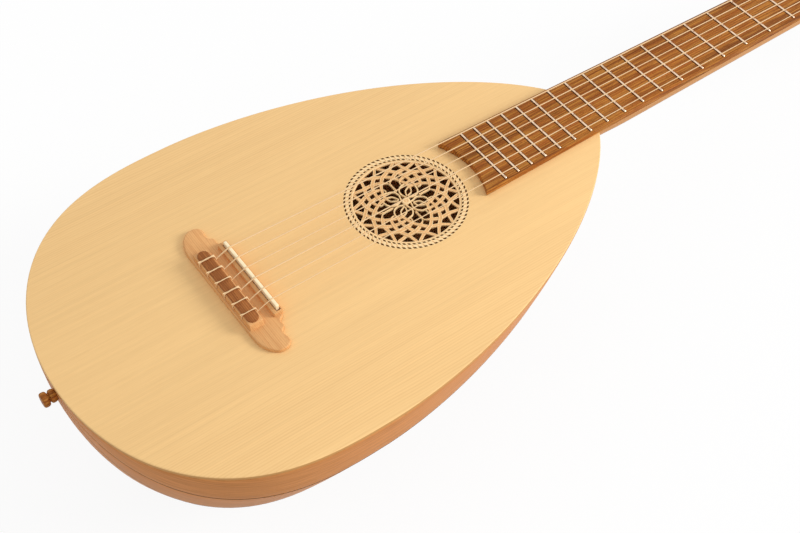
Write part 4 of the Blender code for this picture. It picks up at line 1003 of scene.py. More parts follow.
class LUTE_OT_rosette(bpy.types.Operator):
    """Make the lattice of woven strands with its rim and hub."""
    bl_idname = "lute_guitar.rosette"
    bl_label = "Rosette"

    def execute(self, context):
        sizes = context.scene.lute_rosette
        shape = Shape()
        across = [STRAND_FIBRE * k for k in range(len(STRAND_HIGHLIGHTS))]
        for turn, leave, ending, span, end in STRANDS.values():
            path = strand_path(turn, leave, end)
            widths = [strand_width(place.length, ending, span) for place in path]
            sections = [strand_section(width * MM, sizes) for width in widths]
            # Painted light: pale raised borders, the bed darker as painted shade, narrow strands pale all
            # across.
            thin = [min(1.0, 1 - (width - ending) / THIN_SPAN) for width in widths]
            tones = [max(tone, share) for share in thin for tone in STRAND_HIGHLIGHTS]
            for quarter in range(4):
                for hand in (1, -1):
                    points = [strand_point(place, quarter, hand, sizes) for place in path]
                    grain = [(x, y + step, z) for x, y, z in points for step in across]
                    shape.add(sweep(points, sections, up=(0, 0, 1)), grain, tones)
        self.add_rim(shape, ROSETTE_HIGH.z, sizes)
        piece("rosette_lattice", shape, "lattice", cad="rosette", sharp=40)
        return {"FINISHED"}

    def add_rim(self, shape, top, sizes):
        """The plain band round the lattice and the disc in its middle, their raised tops painted pale as
        highlight and their lower parts left darker as painted shade.
        """
        outer, inner = ROSETTE_RADIUS, ROSETTE_RADIUS - sizes.rim_width
        low = top - sizes.weave - sizes.strand_thickness
        section = [
            (inner, low), (outer, low), (outer, top), (inner + 0.5 * MM, top),
            (inner + 0.15 * MM, top - 0.1 * MM), (inner, top - 0.35 * MM),
        ]
        turns = arc(128, 0.0, 2 * pi)
        rings = [[(ROSETTE_X + r * cos(t), r * sin(t), z) for r, z in section] for t in turns]
        # Painted highlight on the band's top and rounded inner edge; its lower sides keep the darker colour.
        shape.add(skin(rings, caps=False), tones=[0.0, 0.0, 0.5, 0.8, 1.0, 0.6] * len(turns))
        low /= MM
        # The hub's third numbers are painted light: its raised rings pale, its groove darker as painted
        # shade.
        hub = (
            (2.9, low, 0.0), (3.3, low + 0.3, 0.5), (3.3, -0.45, 1.0), (2.9, -0.2, 1.0), (2.1, -0.1, 1.0),
            (1.4, -0.4, 0.2), (0.9, -0.45, 0.2), (0.4, -0.15, 1.0),
        )
        part = turned([(radius * MM, height * MM) for radius, height, _ in hub], 40)
        tones = [tone for _, _, tone in hub for _ in range(40)]
        shape.add(moved(part, Matrix.Translation((ROSETTE_X, 0, 0))), tones=tones)


class LUTE_OT_inlaid_rings(bpy.types.Operator):
    """Make the three rings of slanted blocks let into the soundboard round the rosette."""
    bl_idname = "lute_guitar.inlaid_rings"
    bl_label = "Inlaid rings"

    def execute(self, context):
        count = context.scene.lute_rosette.dashes
        pitch = 2 * pi / count
        shapes = {"dark": Shape(), "pale": Shape(), "tan": Shape()}
        for radius, width, blocks in RINGS:
            for k in range(count):
                for start, share, look in blocks:
                    turns = (pitch * (k + start), pitch * share, pitch * BLOCK_LEAN)
                    shapes[look].add(self.block(radius * MM, width * MM, *turns))
        pale = shapes["pale"]
        pale.tones = [1.0] * len(pale.points)
        piece("inlaid_ring_dashes", shapes["dark"], "dark_line")
        piece("inlaid_ring_pale", pale, "lattice")
        piece("inlaid_ring_tan", shapes["tan"], "lattice")
        return {"FINISHED"}

    def block(self, radius, width, start, span, lean):
        """One slanted block of a ring; lean is the angle by which its outer side runs on."""
        outline = [(radius - width / 2, start + span * k / 3) for k in range(4)]
        outline += [(radius + width / 2, start + lean + span * k / 3) for k in range(3, -1, -1)]
        places = [(ROSETTE_X + r * cos(t), r * sin(t)) for r, t in outline]
        return skin([[(x, y, z) for x, y in places] for z in (-LET_IN, PROUD)])


# Bridge

def string_y(index, width):
    """Place of a string across the board, whose strings are that wide apart; the lowest is at +y."""
    return width / 2 - width * index / (STRING_COUNT - 1)


def wing_outline():
    """The bridge's plan: straight back, stepped front edge and round wing ends."""
    reach = (BRIDGE_HIGH.y - BRIDGE_LOW.y) / 2 - WING_ROOT_Y
    depth = BRIDGE_HIGH.x - BRIDGE_LOW.x
    shares = [
        (0.0, 0.0), (0.0, 0.22), (0.015, 0.42), (0.06, 0.60), (0.13, 0.76), (0.22, 0.88), (0.31, 0.96),
        (0.40, 1.0), (0.50, 1.0), (0.58, 0.975), (0.66, 0.92), (0.705, 0.84), (0.715, 0.76), (0.70, 0.67),
        (0.675, 0.59), (0.675, 0.52), (0.70, 0.455), (0.75, 0.41), (0.80, 0.365), (0.815, 0.31),
        (0.805, 0.25), (0.80, 0.19), (0.825, 0.13), (0.875, 0.09), (0.93, 0.05), (0.975, -0.01), (1.0, -0.08),
    ]
    side = [(BRIDGE_LOW.x + a * depth, WING_ROOT_Y + b * reach) for a, b in shares]
    return side + reflected(side)


class LUTE_OT_bridge(bpy.types.Operator):
    """Make the bridge with its wings, tie block, channel and saddle ridge."""
    bl_idname = "lute_guitar.bridge"
    bl_label = "Bridge"

    def execute(self, context):
        sizes = context.scene.lute_bridge
        foot = sizes.wing_height - WING_OVERLAP
        levels = rounded(GAP, sizes.wing_height, sizes.edge, bottom=False, steps=4)
        shape = Shape(plate(wing_outline(), levels))
        self.add_tie_block(shape, foot)
        self.add_ridge(shape, foot)
        shape.grain = [(p.y, p.x, p.z) for p in shape.points]
        piece("bridge_body", shape, "pear", cad="bridge", sharp=40)
        return {"FINISHED"}

    def add_tie_block(self, shape, foot):
        """The block that the strings are tied to, bored for each."""
        slope = 1.6 * MM
        right = [
            (WING_ROOT_Y + slope, foot), (WING_ROOT_Y + 0.5 * slope, foot + 2.2 * MM),
            (WING_ROOT_Y, TIE_HEIGHT - 1 * MM), (WING_ROOT_Y - 0.4 * MM, TIE_HEIGHT - 0.3 * MM),
            (WING_ROOT_Y - 1.2 * MM, TIE_HEIGHT),
        ]
        left = reflected(right, (-1, 1))
        places = [string_y(k, SPREAD_AT_SADDLE) for k in range(STRING_COUNT)]
        holes = [circle(TIE_HOLE_RADIUS, 16, y, TIE_HOLE_Z) for y in places]
        levels = rounded(TIE_BACK_X, TIE_FRONT_X, 0.35 * MM)
        points, faces = plate(left[-1:] + right + left[:-1], levels, holes)
        shape.add(([(x, y, z) for y, z, x in points], faces))

    def add_ridge(self, shape, foot):
        """The ridge that holds the saddle in its slot."""
        outline = rectangle(RIDGE_BACK_X, -WING_ROOT_Y, BRIDGE_HIGH.x - GAP, WING_ROOT_Y, 1.2 * MM)
        high = RIDGE_HEIGHT
        levels = [(0.0, foot), (0.0, high - 0.5 * MM), (0.12 * MM, high - 0.15 * MM), (0.4 * MM, high)]
        half = (SADDLE_HIGH.x - SADDLE_LOW.x) / 2 + SLOT_PLAY
        slot = rectangle(-half, SADDLE_LOW.y - SLOT_PAST_LOW, half, SADDLE_HIGH.y + SLOT_PAST_HIGH)
        cutter = plate(slot, [(0, high - SADDLE_SLOT_DEPTH), (0, high + 3 * MM)])
        made = cut(Shape(plate(outline, levels)), Shape(cutter))
        shape.add((made.points, made.faces))


class LUTE_OT_inlay(bpy.types.Operator):
    """Make the walnut strip with round ends on the tie block."""
    bl_idname = "lute_guitar.inlay"
    bl_label = "Tie block inlay"

    def execute(self, context):
        radius = (INLAY_HIGH.x - INLAY_LOW.x) / 2
        outline = rectangle(INLAY_LOW.x, INLAY_LOW.y, INLAY_HIGH.x, INLAY_HIGH.y, radius * 0.999, 12)
        part = plate(outline, rounded(TIE_HEIGHT - 0.1 * MM, INLAY_HIGH.z, 0.25 * MM, bottom=False))
        shape = Shape(part, [(y, x, z) for x, y, z in part[0]])
        shift = (0.2, 0.31, 0)
        piece("tie_block_strip", shape, "inlay_walnut", cad="tie_block_inlay", shift=shift)
        return {"FINISHED"}


class LUTE_OT_saddle(bpy.types.Operator):
    """Make the bone saddle, rounded along its top."""
    bl_idname = "lute_guitar.saddle"
    bl_label = "Saddle"

    def execute(self, context):
        half = (SADDLE_HIGH.x - SADDLE_LOW.x) / 2 - 0.2 * MM
        low, rise = SADDLE_LOW.z, 0.6 * MM
        crown = [(half * cos(t), SADDLE_HIGH.z - rise + rise * sin(t) ** 0.4) for t in arc(10)]
        section = [(half, low), *crown, (-half, low)]
        ends = [(SADDLE_LOW.y, 0.86), (SADDLE_LOW.y + 0.25 * MM, 0.97), (SADDLE_LOW.y + 0.8 * MM, 1.0)]
        ends += reflected(ends, (-1, 1))
        rings = []
        for y, share in ends:
            tall = 0.5 + 0.5 * share
            rings.append([(x * share, y, low + (z - low) * tall) for x, z in section])
        piece("saddle_strip", Shape(skin(rings)), "bone", cad="saddle", sharp=50)
        return {"FINISHED"}


# Neck

def board_half_width(x):
    """Half width of the fingerboard at a place along the strings."""
    slope = (BOARD_BODY_WIDTH - BOARD_NUT_WIDTH) / (SCALE_LENGTH / 2)
    return (BOARD_NUT_WIDTH + slope * (SCALE_LENGTH - x)) / 2


class LUTE_OT_fingerboard(bpy.types.Operator):
    """Make the walnut fingerboard with its hollow end."""
    bl_idname = "lute_guitar.fingerboard"
    bl_label = "Fingerboard"

    def execute(self, context):
        end, run = BOARD_END_X, SCALE_LENGTH - BOARD_END_X
        side = [(x, board_half_width(x)) for x in (end + run * k / 12 for k in range(12, 0, -1))]
        shares = [1 - k / 12 for k in range(25)]
        half = board_half_width(end)
        hollow = [(end + BOARD_END_HOLLOW * (1 - share ** 2), half * share) for share in shares]
        far = (SCALE_LENGTH, board_half_width(SCALE_LENGTH))
        outline = [far, *side, *hollow, *reflected(side[1:]), (far[0], -far[1])]
        edge = context.scene.lute_neck.board_edge
        part = plate(outline, rounded(GAP, BOARD_TOP, edge, bottom=False))
        piece("fingerboard_plank", Shape(part), "walnut", cad="fingerboard", sharp=40)
        return {"FINISHED"}


class LUTE_OT_frets(bpy.types.Operator):
    """Make the nineteen frets, each a rounded bar with bevelled ends, and the dark strips beside them, slot
    lines widened into painted shadow.
    """
    bl_idname = "lute_guitar.frets"
    bl_label = "Frets"

    def execute(self, context):
        sizes = context.scene.lute_neck
        lines_and_shadows = Shape()
        for number in range(1, FRET_COUNT + 1):
            x = SCALE_LENGTH / 2 ** (number / 12)
            reach = board_half_width(x) - sizes.fret_inset
            ends = [(-reach, 0.12), (-reach + 0.45 * FRET_BEVEL, 0.72), (-reach + FRET_BEVEL, 1.0)]
            ends += reflected(ends, (-1, 1))
            rings = []
            for y, share in ends:
                half, rise = sizes.fret_width / 2 * (0.8 + 0.2 * share), sizes.fret_height * share
                crown = [(x + half * cos(t), y, BOARD_TOP + rise * sin(t) ** 0.7) for t in arc(8)]
                low = BOARD_TOP - FRET_DEPTH
                rings.append([(x + half, y, low), *crown, (x - half, y, low)])
            piece(f"fret_{number:02d}", Shape(skin(rings)), "fret_metal", sharp=45)
            # Painted shadow: a near-black strip on each side of the fret, wider than a slot line, stands in
            # for the fret's shadow on the board.
            half = sizes.fret_width / 2 + sizes.fret_slot
            levels = [(0, BOARD_TOP - 0.2 * MM), (0, BOARD_TOP + 0.02 * MM)]
            lines_and_shadows.add(plate(rectangle(x - half, -reach, x + half, reach), levels))
        piece("fret_slot_fillers", lines_and_shadows, "slot_filler")
        return {"FINISHED"}


# Shares of the neck's length at which it has a section, closer together over the heel
NECK_STATIONS = (
    0.0, 0.01, 0.02, 0.035, 0.05, 0.065, 0.08, 0.095, 0.11, 0.13, 0.16, 0.2, 0.3, 0.45, 0.6, 0.75, 0.9, 1.0,
)


def neck_section(x, half_width, depth, lean=0.0):
    """One section of the neck; lean tilts it with the headstock's joint."""
    side = -RIM_Z
    round_back = [(half_width * cos(t), -side - (depth - side) * sin(t)) for t in arc(32)]
    return [(x + lean * z, y, z) for y, z in ((half_width, 0.0), *round_back, (-half_width, 0.0))]


class LUTE_OT_neck(bpy.types.Operator):
    """Make the neck, round behind, with its low heel."""
    bl_idname = "lute_guitar.neck"
    bl_label = "Neck"

    def execute(self, context):
        start = JOINT_X + GAP / 3
        heel_depth = -RIM_Z + keel_ratio(JOINT_X) * HEEL_HALF_WIDTH
        rings = []
        for share in NECK_STATIONS:
            x = start + (SCALE_LENGTH - start) * share
            depth = heel_depth + (NECK_DEPTH_AT_NUT - heel_depth) * share
            narrowing = (board_half_width(x) - HEEL_HALF_WIDTH) * eased(share / HEEL_SHARE)
            rings.append(neck_section(x, HEEL_HALF_WIDTH + narrowing, depth))
        half_width = board_half_width(SCALE_LENGTH)
        rings.append(neck_section(HEAD_X - GAP / 3, half_width, NECK_DEPTH_AT_NUT, tan(HEAD_ANGLE)))
        piece("neck_shaft", Shape(skin(rings)), "maple", cad="neck", sharp=40, shift=(0.1, 0.22, 0))
        return {"FINISHED"}


class LUTE_OT_nut(bpy.types.Operator):
    """Make the bone nut with a notch for each string."""
    bl_idname = "lute_guitar.nut"
    bl_label = "Nut"

    def execute(self, context):
        notches = []
        for index, diameter in enumerate(context.scene.lute_strings.diameters):
            middle, radius = string_y(index, SPREAD_AT_NUT), NOTCH_SHARE * diameter
            notches.append((middle + radius, 0.0))
            notches += [(middle + radius * cos(t), -0.5 * diameter * (1 + sin(t))) for t in arc(8)]
            notches.append((middle - radius, 0.0))
        start, end = NUT_LOW.x, NUT_HIGH.x
        inwards, down = 0.5 * MM, 0.6 * MM      # of the bevels at the nut's ends
        rings = []
        for x, fall, ease in (
            (start, 0.5, 0.4), (start + 0.3 * MM, 0.1, 0.1), (start + 0.9 * MM, 0.0, 0.0),
            ((start + end) / 2, 0.12, 0.0), (end - 0.5 * MM, 1.3, 0.1), (end, 1.9, 0.4),
        ):
            high = NUT_HIGH.z - fall * MM
            reach = board_half_width(SCALE_LENGTH) - ease * MM
            ring = [(x, -reach, GAP), (x, reach, GAP), (x, reach, high - down), (x, reach - inwards, high)]
            ring += [(x, y, high + z) for y, z in notches]
            ring += [(x, -reach + inwards, high), (x, -reach, high - down)]
            rings.append(ring)
        piece("nut_strip", Shape(skin(rings)), "bone", cad="nut", sharp=50)
        return {"FINISHED"}


# Headstock

def machine_places():
    """Each machine head: number, place along the head and side."""
    places = []
    for number in range(1, STRING_COUNT + 1):
        side = 1 if joint_place(f"knob_{number}_turn").y > 0 else -1
        places.append((number, joint_place(f"roller_{number}_turn").x, side))
    return places


def head_outline():
    """The headstock's plan, from the nut to its crown."""
    start, far = board_half_width(SCALE_LENGTH), HEAD_LENGTH
    shoulder = curve_through([
        (0.0, start, 0), (0.35 * HEAD_SHOULDER, start + 0.5 * MM, 0),
        (0.8 * HEAD_SHOULDER, HEAD_SIDE - 1.5 * MM, 0), (HEAD_SHOULDER, HEAD_SIDE, 0),
    ], 6)
    crown = curve_through([
        (far - 1.6 * HEAD_CROWN, HEAD_SIDE, 0), (far - 0.9 * HEAD_CROWN, 0.9 * HEAD_SIDE, 0),
        (far - 0.7 * HEAD_CROWN, 0.62 * HEAD_SIDE, 0), (far - 0.35 * HEAD_CROWN, 0.4 * HEAD_SIDE, 0),
        (far, 0.18 * HEAD_SIDE, 0),
    ], 6)
    side = [(p.x, p.y) for p in shoulder + crown]
    return side + reflected(side)


def slot_outline(side):
    """One string slot, with round ends."""
    radius = SLOT_WIDTH / 2
    middle = side * (SLOT_INNER + radius)
    return rectangle(SLOT_START, middle - radius, SLOT_END, middle + radius, radius * 0.999, 10)


def sideways(part, side):
    """A part drawn along u and n, with its depth outwards, laid on a side of the head."""
    points, faces = part
    return [(u, side * out, ROLLER_DEPTH + n) for u, n, out in points], faces


class LUTE_OT_headstock(bpy.types.Operator):
    """Make the slotted headstock, bored for the rollers, with its face veneer."""
    bl_idname = "lute_guitar.headstock"
    bl_label = "Headstock"

    def execute(self, context):
        veneer = context.scene.lute_head.veneer
        slots = [slot_outline(1), slot_outline(-1)]
        levels = rounded(-HEAD_THICKNESS, -veneer, HEAD_BACK_EDGE)
        levels = [level for level in levels if level[1] < -HEAD_THICKNESS / 2] + [(0.0, -veneer)]
        bores = Shape()
        start, end = SLOT_INNER - ROLLER_SEAT - GAP, HEAD_SIDE + 2 * MM
        for _, u, side in machine_places():
            bore = turned([(ROLLER_RADIUS + GAP, start), (ROLLER_RADIUS + GAP, end)])
            bores.add(moved(bore, Matrix.Translation((u, 0, ROLLER_DEPTH)) @ side_turn(side)))
        made = cut(Shape(plate(head_outline(), levels, slots)), bores)
        piece(
            "headstock_block", made, "maple", place=HEAD_FRAME, cad="headstock", sharp=32, shift=(0.6, 0.4, 0)
        )
        levels = rounded(-veneer, 0.0, HEAD_FACE_EDGE, bottom=False)
        face = Shape(plate(head_outline(), levels, slots))
        piece("headstock_veneer", face, "walnut", place=HEAD_FRAME, sharp=32, shift=(0.6, 0.1, 0))
        return {"FINISHED"}


def side_turn(side):
    """The turn that lays a part's z along v, outwards."""
    return Matrix.Rotation(-side * pi / 2, 4, "X")


def screw_head(radius, height, base):
    """A round-headed screw with a slot, its foot at base: a disc under two half discs."""
    part = Shape(turned([(radius, 0), (radius, 0.35 * height), (0.92 * radius, 0.5 * height)], 24))
    start = asin(0.14)              # half the slot's width over the radius
    for side in (1, -1):
        turns = arc(12, start, pi - start)
        outline = [(radius * 0.92 * cos(t), side * radius * 0.92 * sin(t)) for t in turns]
        part.add(plate(outline, [(0, 0.3 * height), (0.0, 0.6 * height), (0.22 * radius, height)]))
    return [point + base for point in part.points], part.faces


class LUTE_OT_tuner_plates(bpy.types.Operator):
    """Make the two brass plates with their ears and screws."""
    bl_idname = "lute_guitar.tuner_plates"
    bl_label = "Tuner plates"

    def execute(self, context):
        inner = HEAD_SIDE + GAP / 2
        levels = rounded(inner, inner + PLATE_THICKNESS, 0.25 * MM, bottom=False)
        for name, side in (("left", 1), ("right", -1)):
            us = [u for _, u, where in machine_places() if where == side]
            near, far = min(us) - PLATE_OVERHANG, max(us) + PLATE_OVERHANG + WORM_OFFSET / 2
            outline = rectangle(near, -PLATE_HEIGHT / 2, far, PLATE_HEIGHT / 2, PLATE_CORNER, 6)
            holes = [circle(AXLE_RADIUS + GAP, 24, u) for u in us]
            shape = Shape(sideways(plate(outline, levels, holes), side))
            for u in us:
                self.add_ears(shape, u + WORM_OFFSET, inner + PLATE_THICKNESS / 2, side)
            cad = f"tuner_plate_{name}"
            piece(f"{cad}_brass", shape, "brass", place=HEAD_FRAME, cad=cad)
            screws = Shape()
            between = [(a + b + WORM_OFFSET) / 2 for a, b in zip(us, us[1:])]
            for u in (near + SCREW_MARGIN, far - SCREW_MARGIN, *between):
                screw = screw_head(*PLATE_SCREW, Vector((u, 0, inner + PLATE_THICKNESS)))
                screws.add(sideways(screw, side))
            piece(f"plate_screws_{name}", screws, "steel", place=HEAD_FRAME)
        return {"FINISHED"}

    def add_ears(self, shape, middle, low, side):
        """The two ears that carry one worm shaft."""
        radius = EAR_LENGTH / 2
        high = GEAR_MIDDLE + WORM_CORE_RADIUS + GAP + EAR_THICKNESS - radius
        outline = [(middle + radius * cos(t), high + radius * sin(t)) for t in arc(10)]
        outline = [(middle + radius, low), *outline, (middle - radius, low)]
        hole = circle(WORM_CORE_RADIUS + GAP, 20, middle, GEAR_MIDDLE)
        levels = rounded(-EAR_THICKNESS / 2, EAR_THICKNESS / 2, 0.15 * MM, steps=2)
        points, faces = plate(outline, levels, [hole])
        for place in (-EAR_PLACE, EAR_PLACE):
            shape.add(([(u, side * v, ROLLER_DEPTH + place + n) for u, v, n in points], faces))


class LUTE_OT_rollers(bpy.types.Operator):
    """Make each string roller and the gear on its axle."""
    bl_idname = "lute_guitar.rollers"
    bl_label = "Rollers and gears"

    def execute(self, context):
        inner, barrel_end = SLOT_INNER - ROLLER_SEAT, HEAD_SIDE - GAP
        gear_side, gear_face = GEAR_MIDDLE - GEAR_THICKNESS / 2, GEAR_MIDDLE + GEAR_THICKNESS / 2
        axle_end, slot_outer = gear_face + GAP, SLOT_INNER + SLOT_WIDTH
        r = ROLLER_RADIUS
        profile = [
            (0.8 * r, inner), (r, inner + 0.4 * MM), (r, SLOT_INNER - 0.2 * MM),
            (0.97 * r, SLOT_INNER + 0.6 * MM), (0.965 * r, slot_outer - 0.6 * MM),
            (r, slot_outer + 0.2 * MM), (r, barrel_end),
            (AXLE_RADIUS, barrel_end), (AXLE_RADIUS, axle_end - 0.3 * MM), (AXLE_RADIUS - 0.3 * MM, axle_end),
        ]
        levels = rounded(gear_side, gear_face, 0.2 * MM, steps=2)
        for number, u, side in machine_places():
            place = HEAD_FRAME @ Matrix.Translation((u, 0, ROLLER_DEPTH)) @ side_turn(side)
            body, roller, gear = f"roller_body_{number}", f"roller_{number}", f"gear_{number}"
            piece(f"{roller}_barrel", Shape(turned(profile, 40)), "bone", body, place, cad=roller, sharp=45)
            shape = Shape(plate(self.gear_outline(), levels))
            shape.add(screw_head(*GEAR_SCREW, Vector((0, 0, gear_face))))
            piece(f"{gear}_brass", shape, "brass", body, place, cad=gear, sharp=30)
        return {"FINISHED"}

    def gear_outline(self):
        """Teeth with eased tips, a tooth pointing along the head to the worm."""
        middle = GEAR_TEETH * GEAR_MODULE / 2
        tip, root = middle + GEAR_MODULE, middle - 1.2 * GEAR_MODULE
        rise = [
            (root, -0.36), (root, -0.28), (root + 0.3 * MM, -0.25), (middle, -0.19), (tip - 0.1 * MM, -0.115),
            (tip, -0.07),
        ]
        form = rise + reflected(rise)
        pitch = 2 * pi / GEAR_TEETH
        turns = [(r, pitch * (tooth + share)) for tooth in range(GEAR_TEETH) for r, share in form]
        return [(r * cos(t), r * sin(t)) for r, t in turns]


class LUTE_OT_knobs(bpy.types.Operator):
    """Make each worm shaft and its knob."""
    bl_idname = "lute_guitar.knobs"
    bl_label = "Worm shafts and knobs"

    def execute(self, context):
        sizes = context.scene.lute_head
        top = ROLLER_DEPTH - KNOB_DROP
        for number, _, _ in machine_places():
            joint = joint_place(f"knob_{number}_turn")
            place = HEAD_FRAME @ Matrix.Translation((joint.x, joint.y, ROLLER_DEPTH))
            body, shaft, knob = f"knob_body_{number}", f"worm_shaft_{number}", f"knob_{number}"
            piece(f"{shaft}_steel", self.shaft(top), "steel", body, place, cad=shaft, sharp=40)
            piece(f"{knob}_shaped", self.knob(top, sizes), "bone", body, place, cad=knob, sharp=50)
        return {"FINISHED"}

    def shaft(self, bottom):
        """A threaded worm on its round core, with a collar over the knob."""
        top, r = EAR_PLACE + EAR_THICKNESS / 2 + GAP, WORM_CORE_RADIUS
        core = [(0.9 * r, bottom - 3 * MM), (r, bottom - 2.6 * MM), (r, bottom)]
        core += [(r, top - 0.3 * MM), (0.8 * r, top)]
        collar = [
            (1.25 * r, bottom - 0.5 * MM), (1.6 * r, bottom), (1.6 * r, bottom + 1.1 * MM),
            (1.2 * r, bottom + 1.6 * MM),
        ]
        shape = Shape(turned(core, 24))
        shape.add(turned(collar, 24))
        steps = 28                              # of the thread, in one turn
        root, crest, inside = 0.24 * THREAD_PITCH, 0.1 * THREAD_PITCH, r - 0.3 * MM
        count = WORM_TURNS * steps
        rings = []
        for k in range(count + 1):
            turns = k / steps - WORM_TURNS / 2
            fade = min(1.0, 4 * k / steps, 4 * (count - k) / steps)
            outer = r + (WORM_RADIUS - r) * max(0.05, fade)
            x, y, z = cos(2 * pi * turns), sin(2 * pi * turns), turns * THREAD_PITCH
            section = ((inside, -root), (outer, -crest), (outer, crest), (inside, root))
            rings.append([(x * radius, y * radius, z + height) for radius, height in section])
        shape.add(skin(rings))
        return shape

    def knob(self, top, sizes):
        """An oval knob, flattened, a little fuller than an ellipsoid."""
        rows = 22
        long, wide, thick = sizes.knob_length / 2, sizes.knob_width / 2, sizes.knob_thickness / 2
        oval = [(wide * fuller(x), thick * fuller(y)) for x, y in circle(1.0, 40)]
        rings = []
        for latitude in arc(rows, -pi / 2, pi / 2)[1:-1]:
            share, height = cos(latitude) ** KNOB_TAPER, top - long + long * fuller(sin(latitude))
            rings.append([(share * x, share * y, height) for x, y in oval])
        return Shape(skin(rings))


def fuller(share):
    """A share from -1 to 1, pushed outwards a little."""
    return copysign(abs(share) ** KNOB_FULLNESS, share)


# Strings

class LUTE_OT_strings(bpy.types.Operator):
    """Make the six strings, from their ties on the bridge to their turns on the rollers."""
    bl_idname = "lute_guitar.strings"
    bl_label = "Strings"

    def execute(self, context):
        diameters = context.scene.lute_strings.diameters
        for index, (diameter, (number, u, side)) in enumerate(zip(diameters, machine_places())):
            radius = diameter / 2
            y_saddle, y_nut = string_y(index, SPREAD_AT_SADDLE), string_y(index, SPREAD_AT_NUT)
            over = SADDLE_HIGH.z + radius
            path = curve_through([
                *self.tie(y_saddle, radius),
                (-1.3 * MM, y_saddle, over - 0.35 * MM), (0, y_saddle, over),
                (1.5 * MM, y_saddle, over - 0.02 * MM),
            ], 6)
            nut_top = NUT_HIGH.z - NUT_SEAT * diameter
            leave = Vector(((NUT_LOW.x + NUT_HIGH.x) / 2, y_nut, nut_top))
            path += [path[-1].lerp(leave, k / 40) for k in range(1, 41)]
            path.append(Vector((NUT_HIGH.x - 0.2 * MM, y_nut, nut_top - 0.5 * MM)))
            path += self.winding(path[-1], u, side, radius, index)
            shape = Shape(sweep(path, circle(radius, 12)))
            piece(f"string_{number}_line", shape, "nylon", cad=f"string_{number}", sharp=80)
        return {"FINISHED"}

    def tie(self, y, radius):
        """The tie at the bridge: tail, loop round the string, over the block, back through the hole."""
        d = 2 * radius
        top = INLAY_HIGH.z + radius
        back, front = TIE_BACK_X - radius, TIE_FRONT_X + radius
        under = TIE_HOLE_Z + 0.4 * MM
        return [
            (back - 0.9 * MM, y + 0.42 * MM, top + 0.35 * MM),
            (back + 0.6 * MM, y + 0.55 * MM, top + 0.25 * MM),
            (back + 3.2 * MM, y + 0.3 * d, top + 0.05 * MM),
            (back + 6.5 * MM, y + 0.15 * d, top),
            (front - 2.2 * MM, y + 0.4 * d, top + 0.1 * MM),
            (front - 0.3 * MM, y + 0.62 * d, top - 0.1 * MM),
            (front + 0.35 * MM, y + 0.8 * d, top - 1.8 * MM),
            (front + 0.8 * MM, y + 0.8 * d, under + 0.4 * MM),
            (front + 1.0 * MM, y, under - d),
            (front + 0.8 * MM, y - 0.8 * d, under + 0.4 * MM),
            (front + 0.35 * MM, y - 0.8 * d, top - 1.8 * MM),
            (front - 0.3 * MM, y - 0.62 * d, top - 0.1 * MM),
            (front - 2.2 * MM, y - 0.45 * d, top + 0.75 * d),
            (back + 6.5 * MM, y - 0.15 * d, top + 0.8 * d),
            (back + 3.2 * MM, y - 0.2 * d, top + 0.55 * d),
            (back + 0.9 * MM, y, top - 0.02 * MM),
            (back, y, top - 0.9 * MM),
            (back - 0.1 * MM, y, TIE_HOLE_Z + 1.4 * MM),
            (back + 0.5 * MM, y, TIE_HOLE_Z + 0.15 * MM),
            (back + 2.2 * MM, y, TIE_HOLE_Z),
            (front - 1.5 * MM, y, TIE_HOLE_Z),
            (front + 0.6 * MM, y, TIE_HOLE_Z + 0.25 * MM),
            (front + 6 * MM, y, TIE_HOLE_Z + 0.52 * (SADDLE_HIGH.z - TIE_HOLE_Z)),
        ]

    def winding(self, start, u, side, radius, index):
        """The turns round the roller, ending in its hole."""
        coil = ROLLER_RADIUS + COIL_CLEARANCE + radius
        start = TO_HEAD @ (SADDLE_FRAME @ start)
        gone_u, gone_n = start.x - u, start.z - ROLLER_DEPTH
        first = atan2(gone_u, gone_n) + acos(coil / hypot(gone_u, gone_n))
        order = abs(abs(index - 2.5) - 0.5)     # of the coil in its slot, from the inner side
        widest = COIL_TURNS * (THICKEST_STRING + COIL_GAP)
        shift = (SLOT_WIDTH - COIL_MARGIN - 2 * THICKEST_STRING - widest) / 2
        near = SLOT_INNER + COIL_MARGIN + order * shift
        far = near + COIL_TURNS * (2 * radius + COIL_GAP)
        last = first + 2 * pi * COIL_TURNS
        steps = 40 * COIL_TURNS
        path = [(turn, v, 1) for turn, v in zip(arc(steps, first, last), arc(steps, near, far))]
        path += [(last + ahead, far, depth) for ahead, depth in STRING_END]
        back = SADDLE_FRAME.inverted() @ HEAD_FRAME
        return [
            back @ Vector((u + coil * depth * sin(turn), side * v, ROLLER_DEPTH + coil * depth * cos(turn)))
            for turn, v, depth in path
        ]


# Stage

CAMERA_PLACE = Vector((-273.2, -548.2, 769.4)) * MM     # from the saddle
CAMERA_LOOK = Vector((0.3762, 0.5029, -0.7782))
CAMERA_RIGHT = Vector((0.8124, -0.5829, 0.0160))
CAMERA_LENS = 59.4
SENSOR_WIDTH = 36.0
LAMP_PLACE = Vector((6.0, -4.0, 3.4))                   # from the saddle
LAMP_TARGET = Vector((0.08, 0, 0))
LAMP_SIZE = 2.8
FLOOR_RADIUS = 14.0
FLOOR_GLOW = 1.1
FLOOR_GLOW_SHARE = 0.82


def seen_rays(tree):
    """1 for the rays that only look: from the camera, in a mirror or through glass."""
    rays = node(tree, "ShaderNodeLightPath").outputs
    seen = reckon(tree, "MAXIMUM", rays["Is Camera Ray"], rays["Is Glossy Ray"])
    return reckon(tree, "MAXIMUM", seen, rays["Is Transmission Ray"])


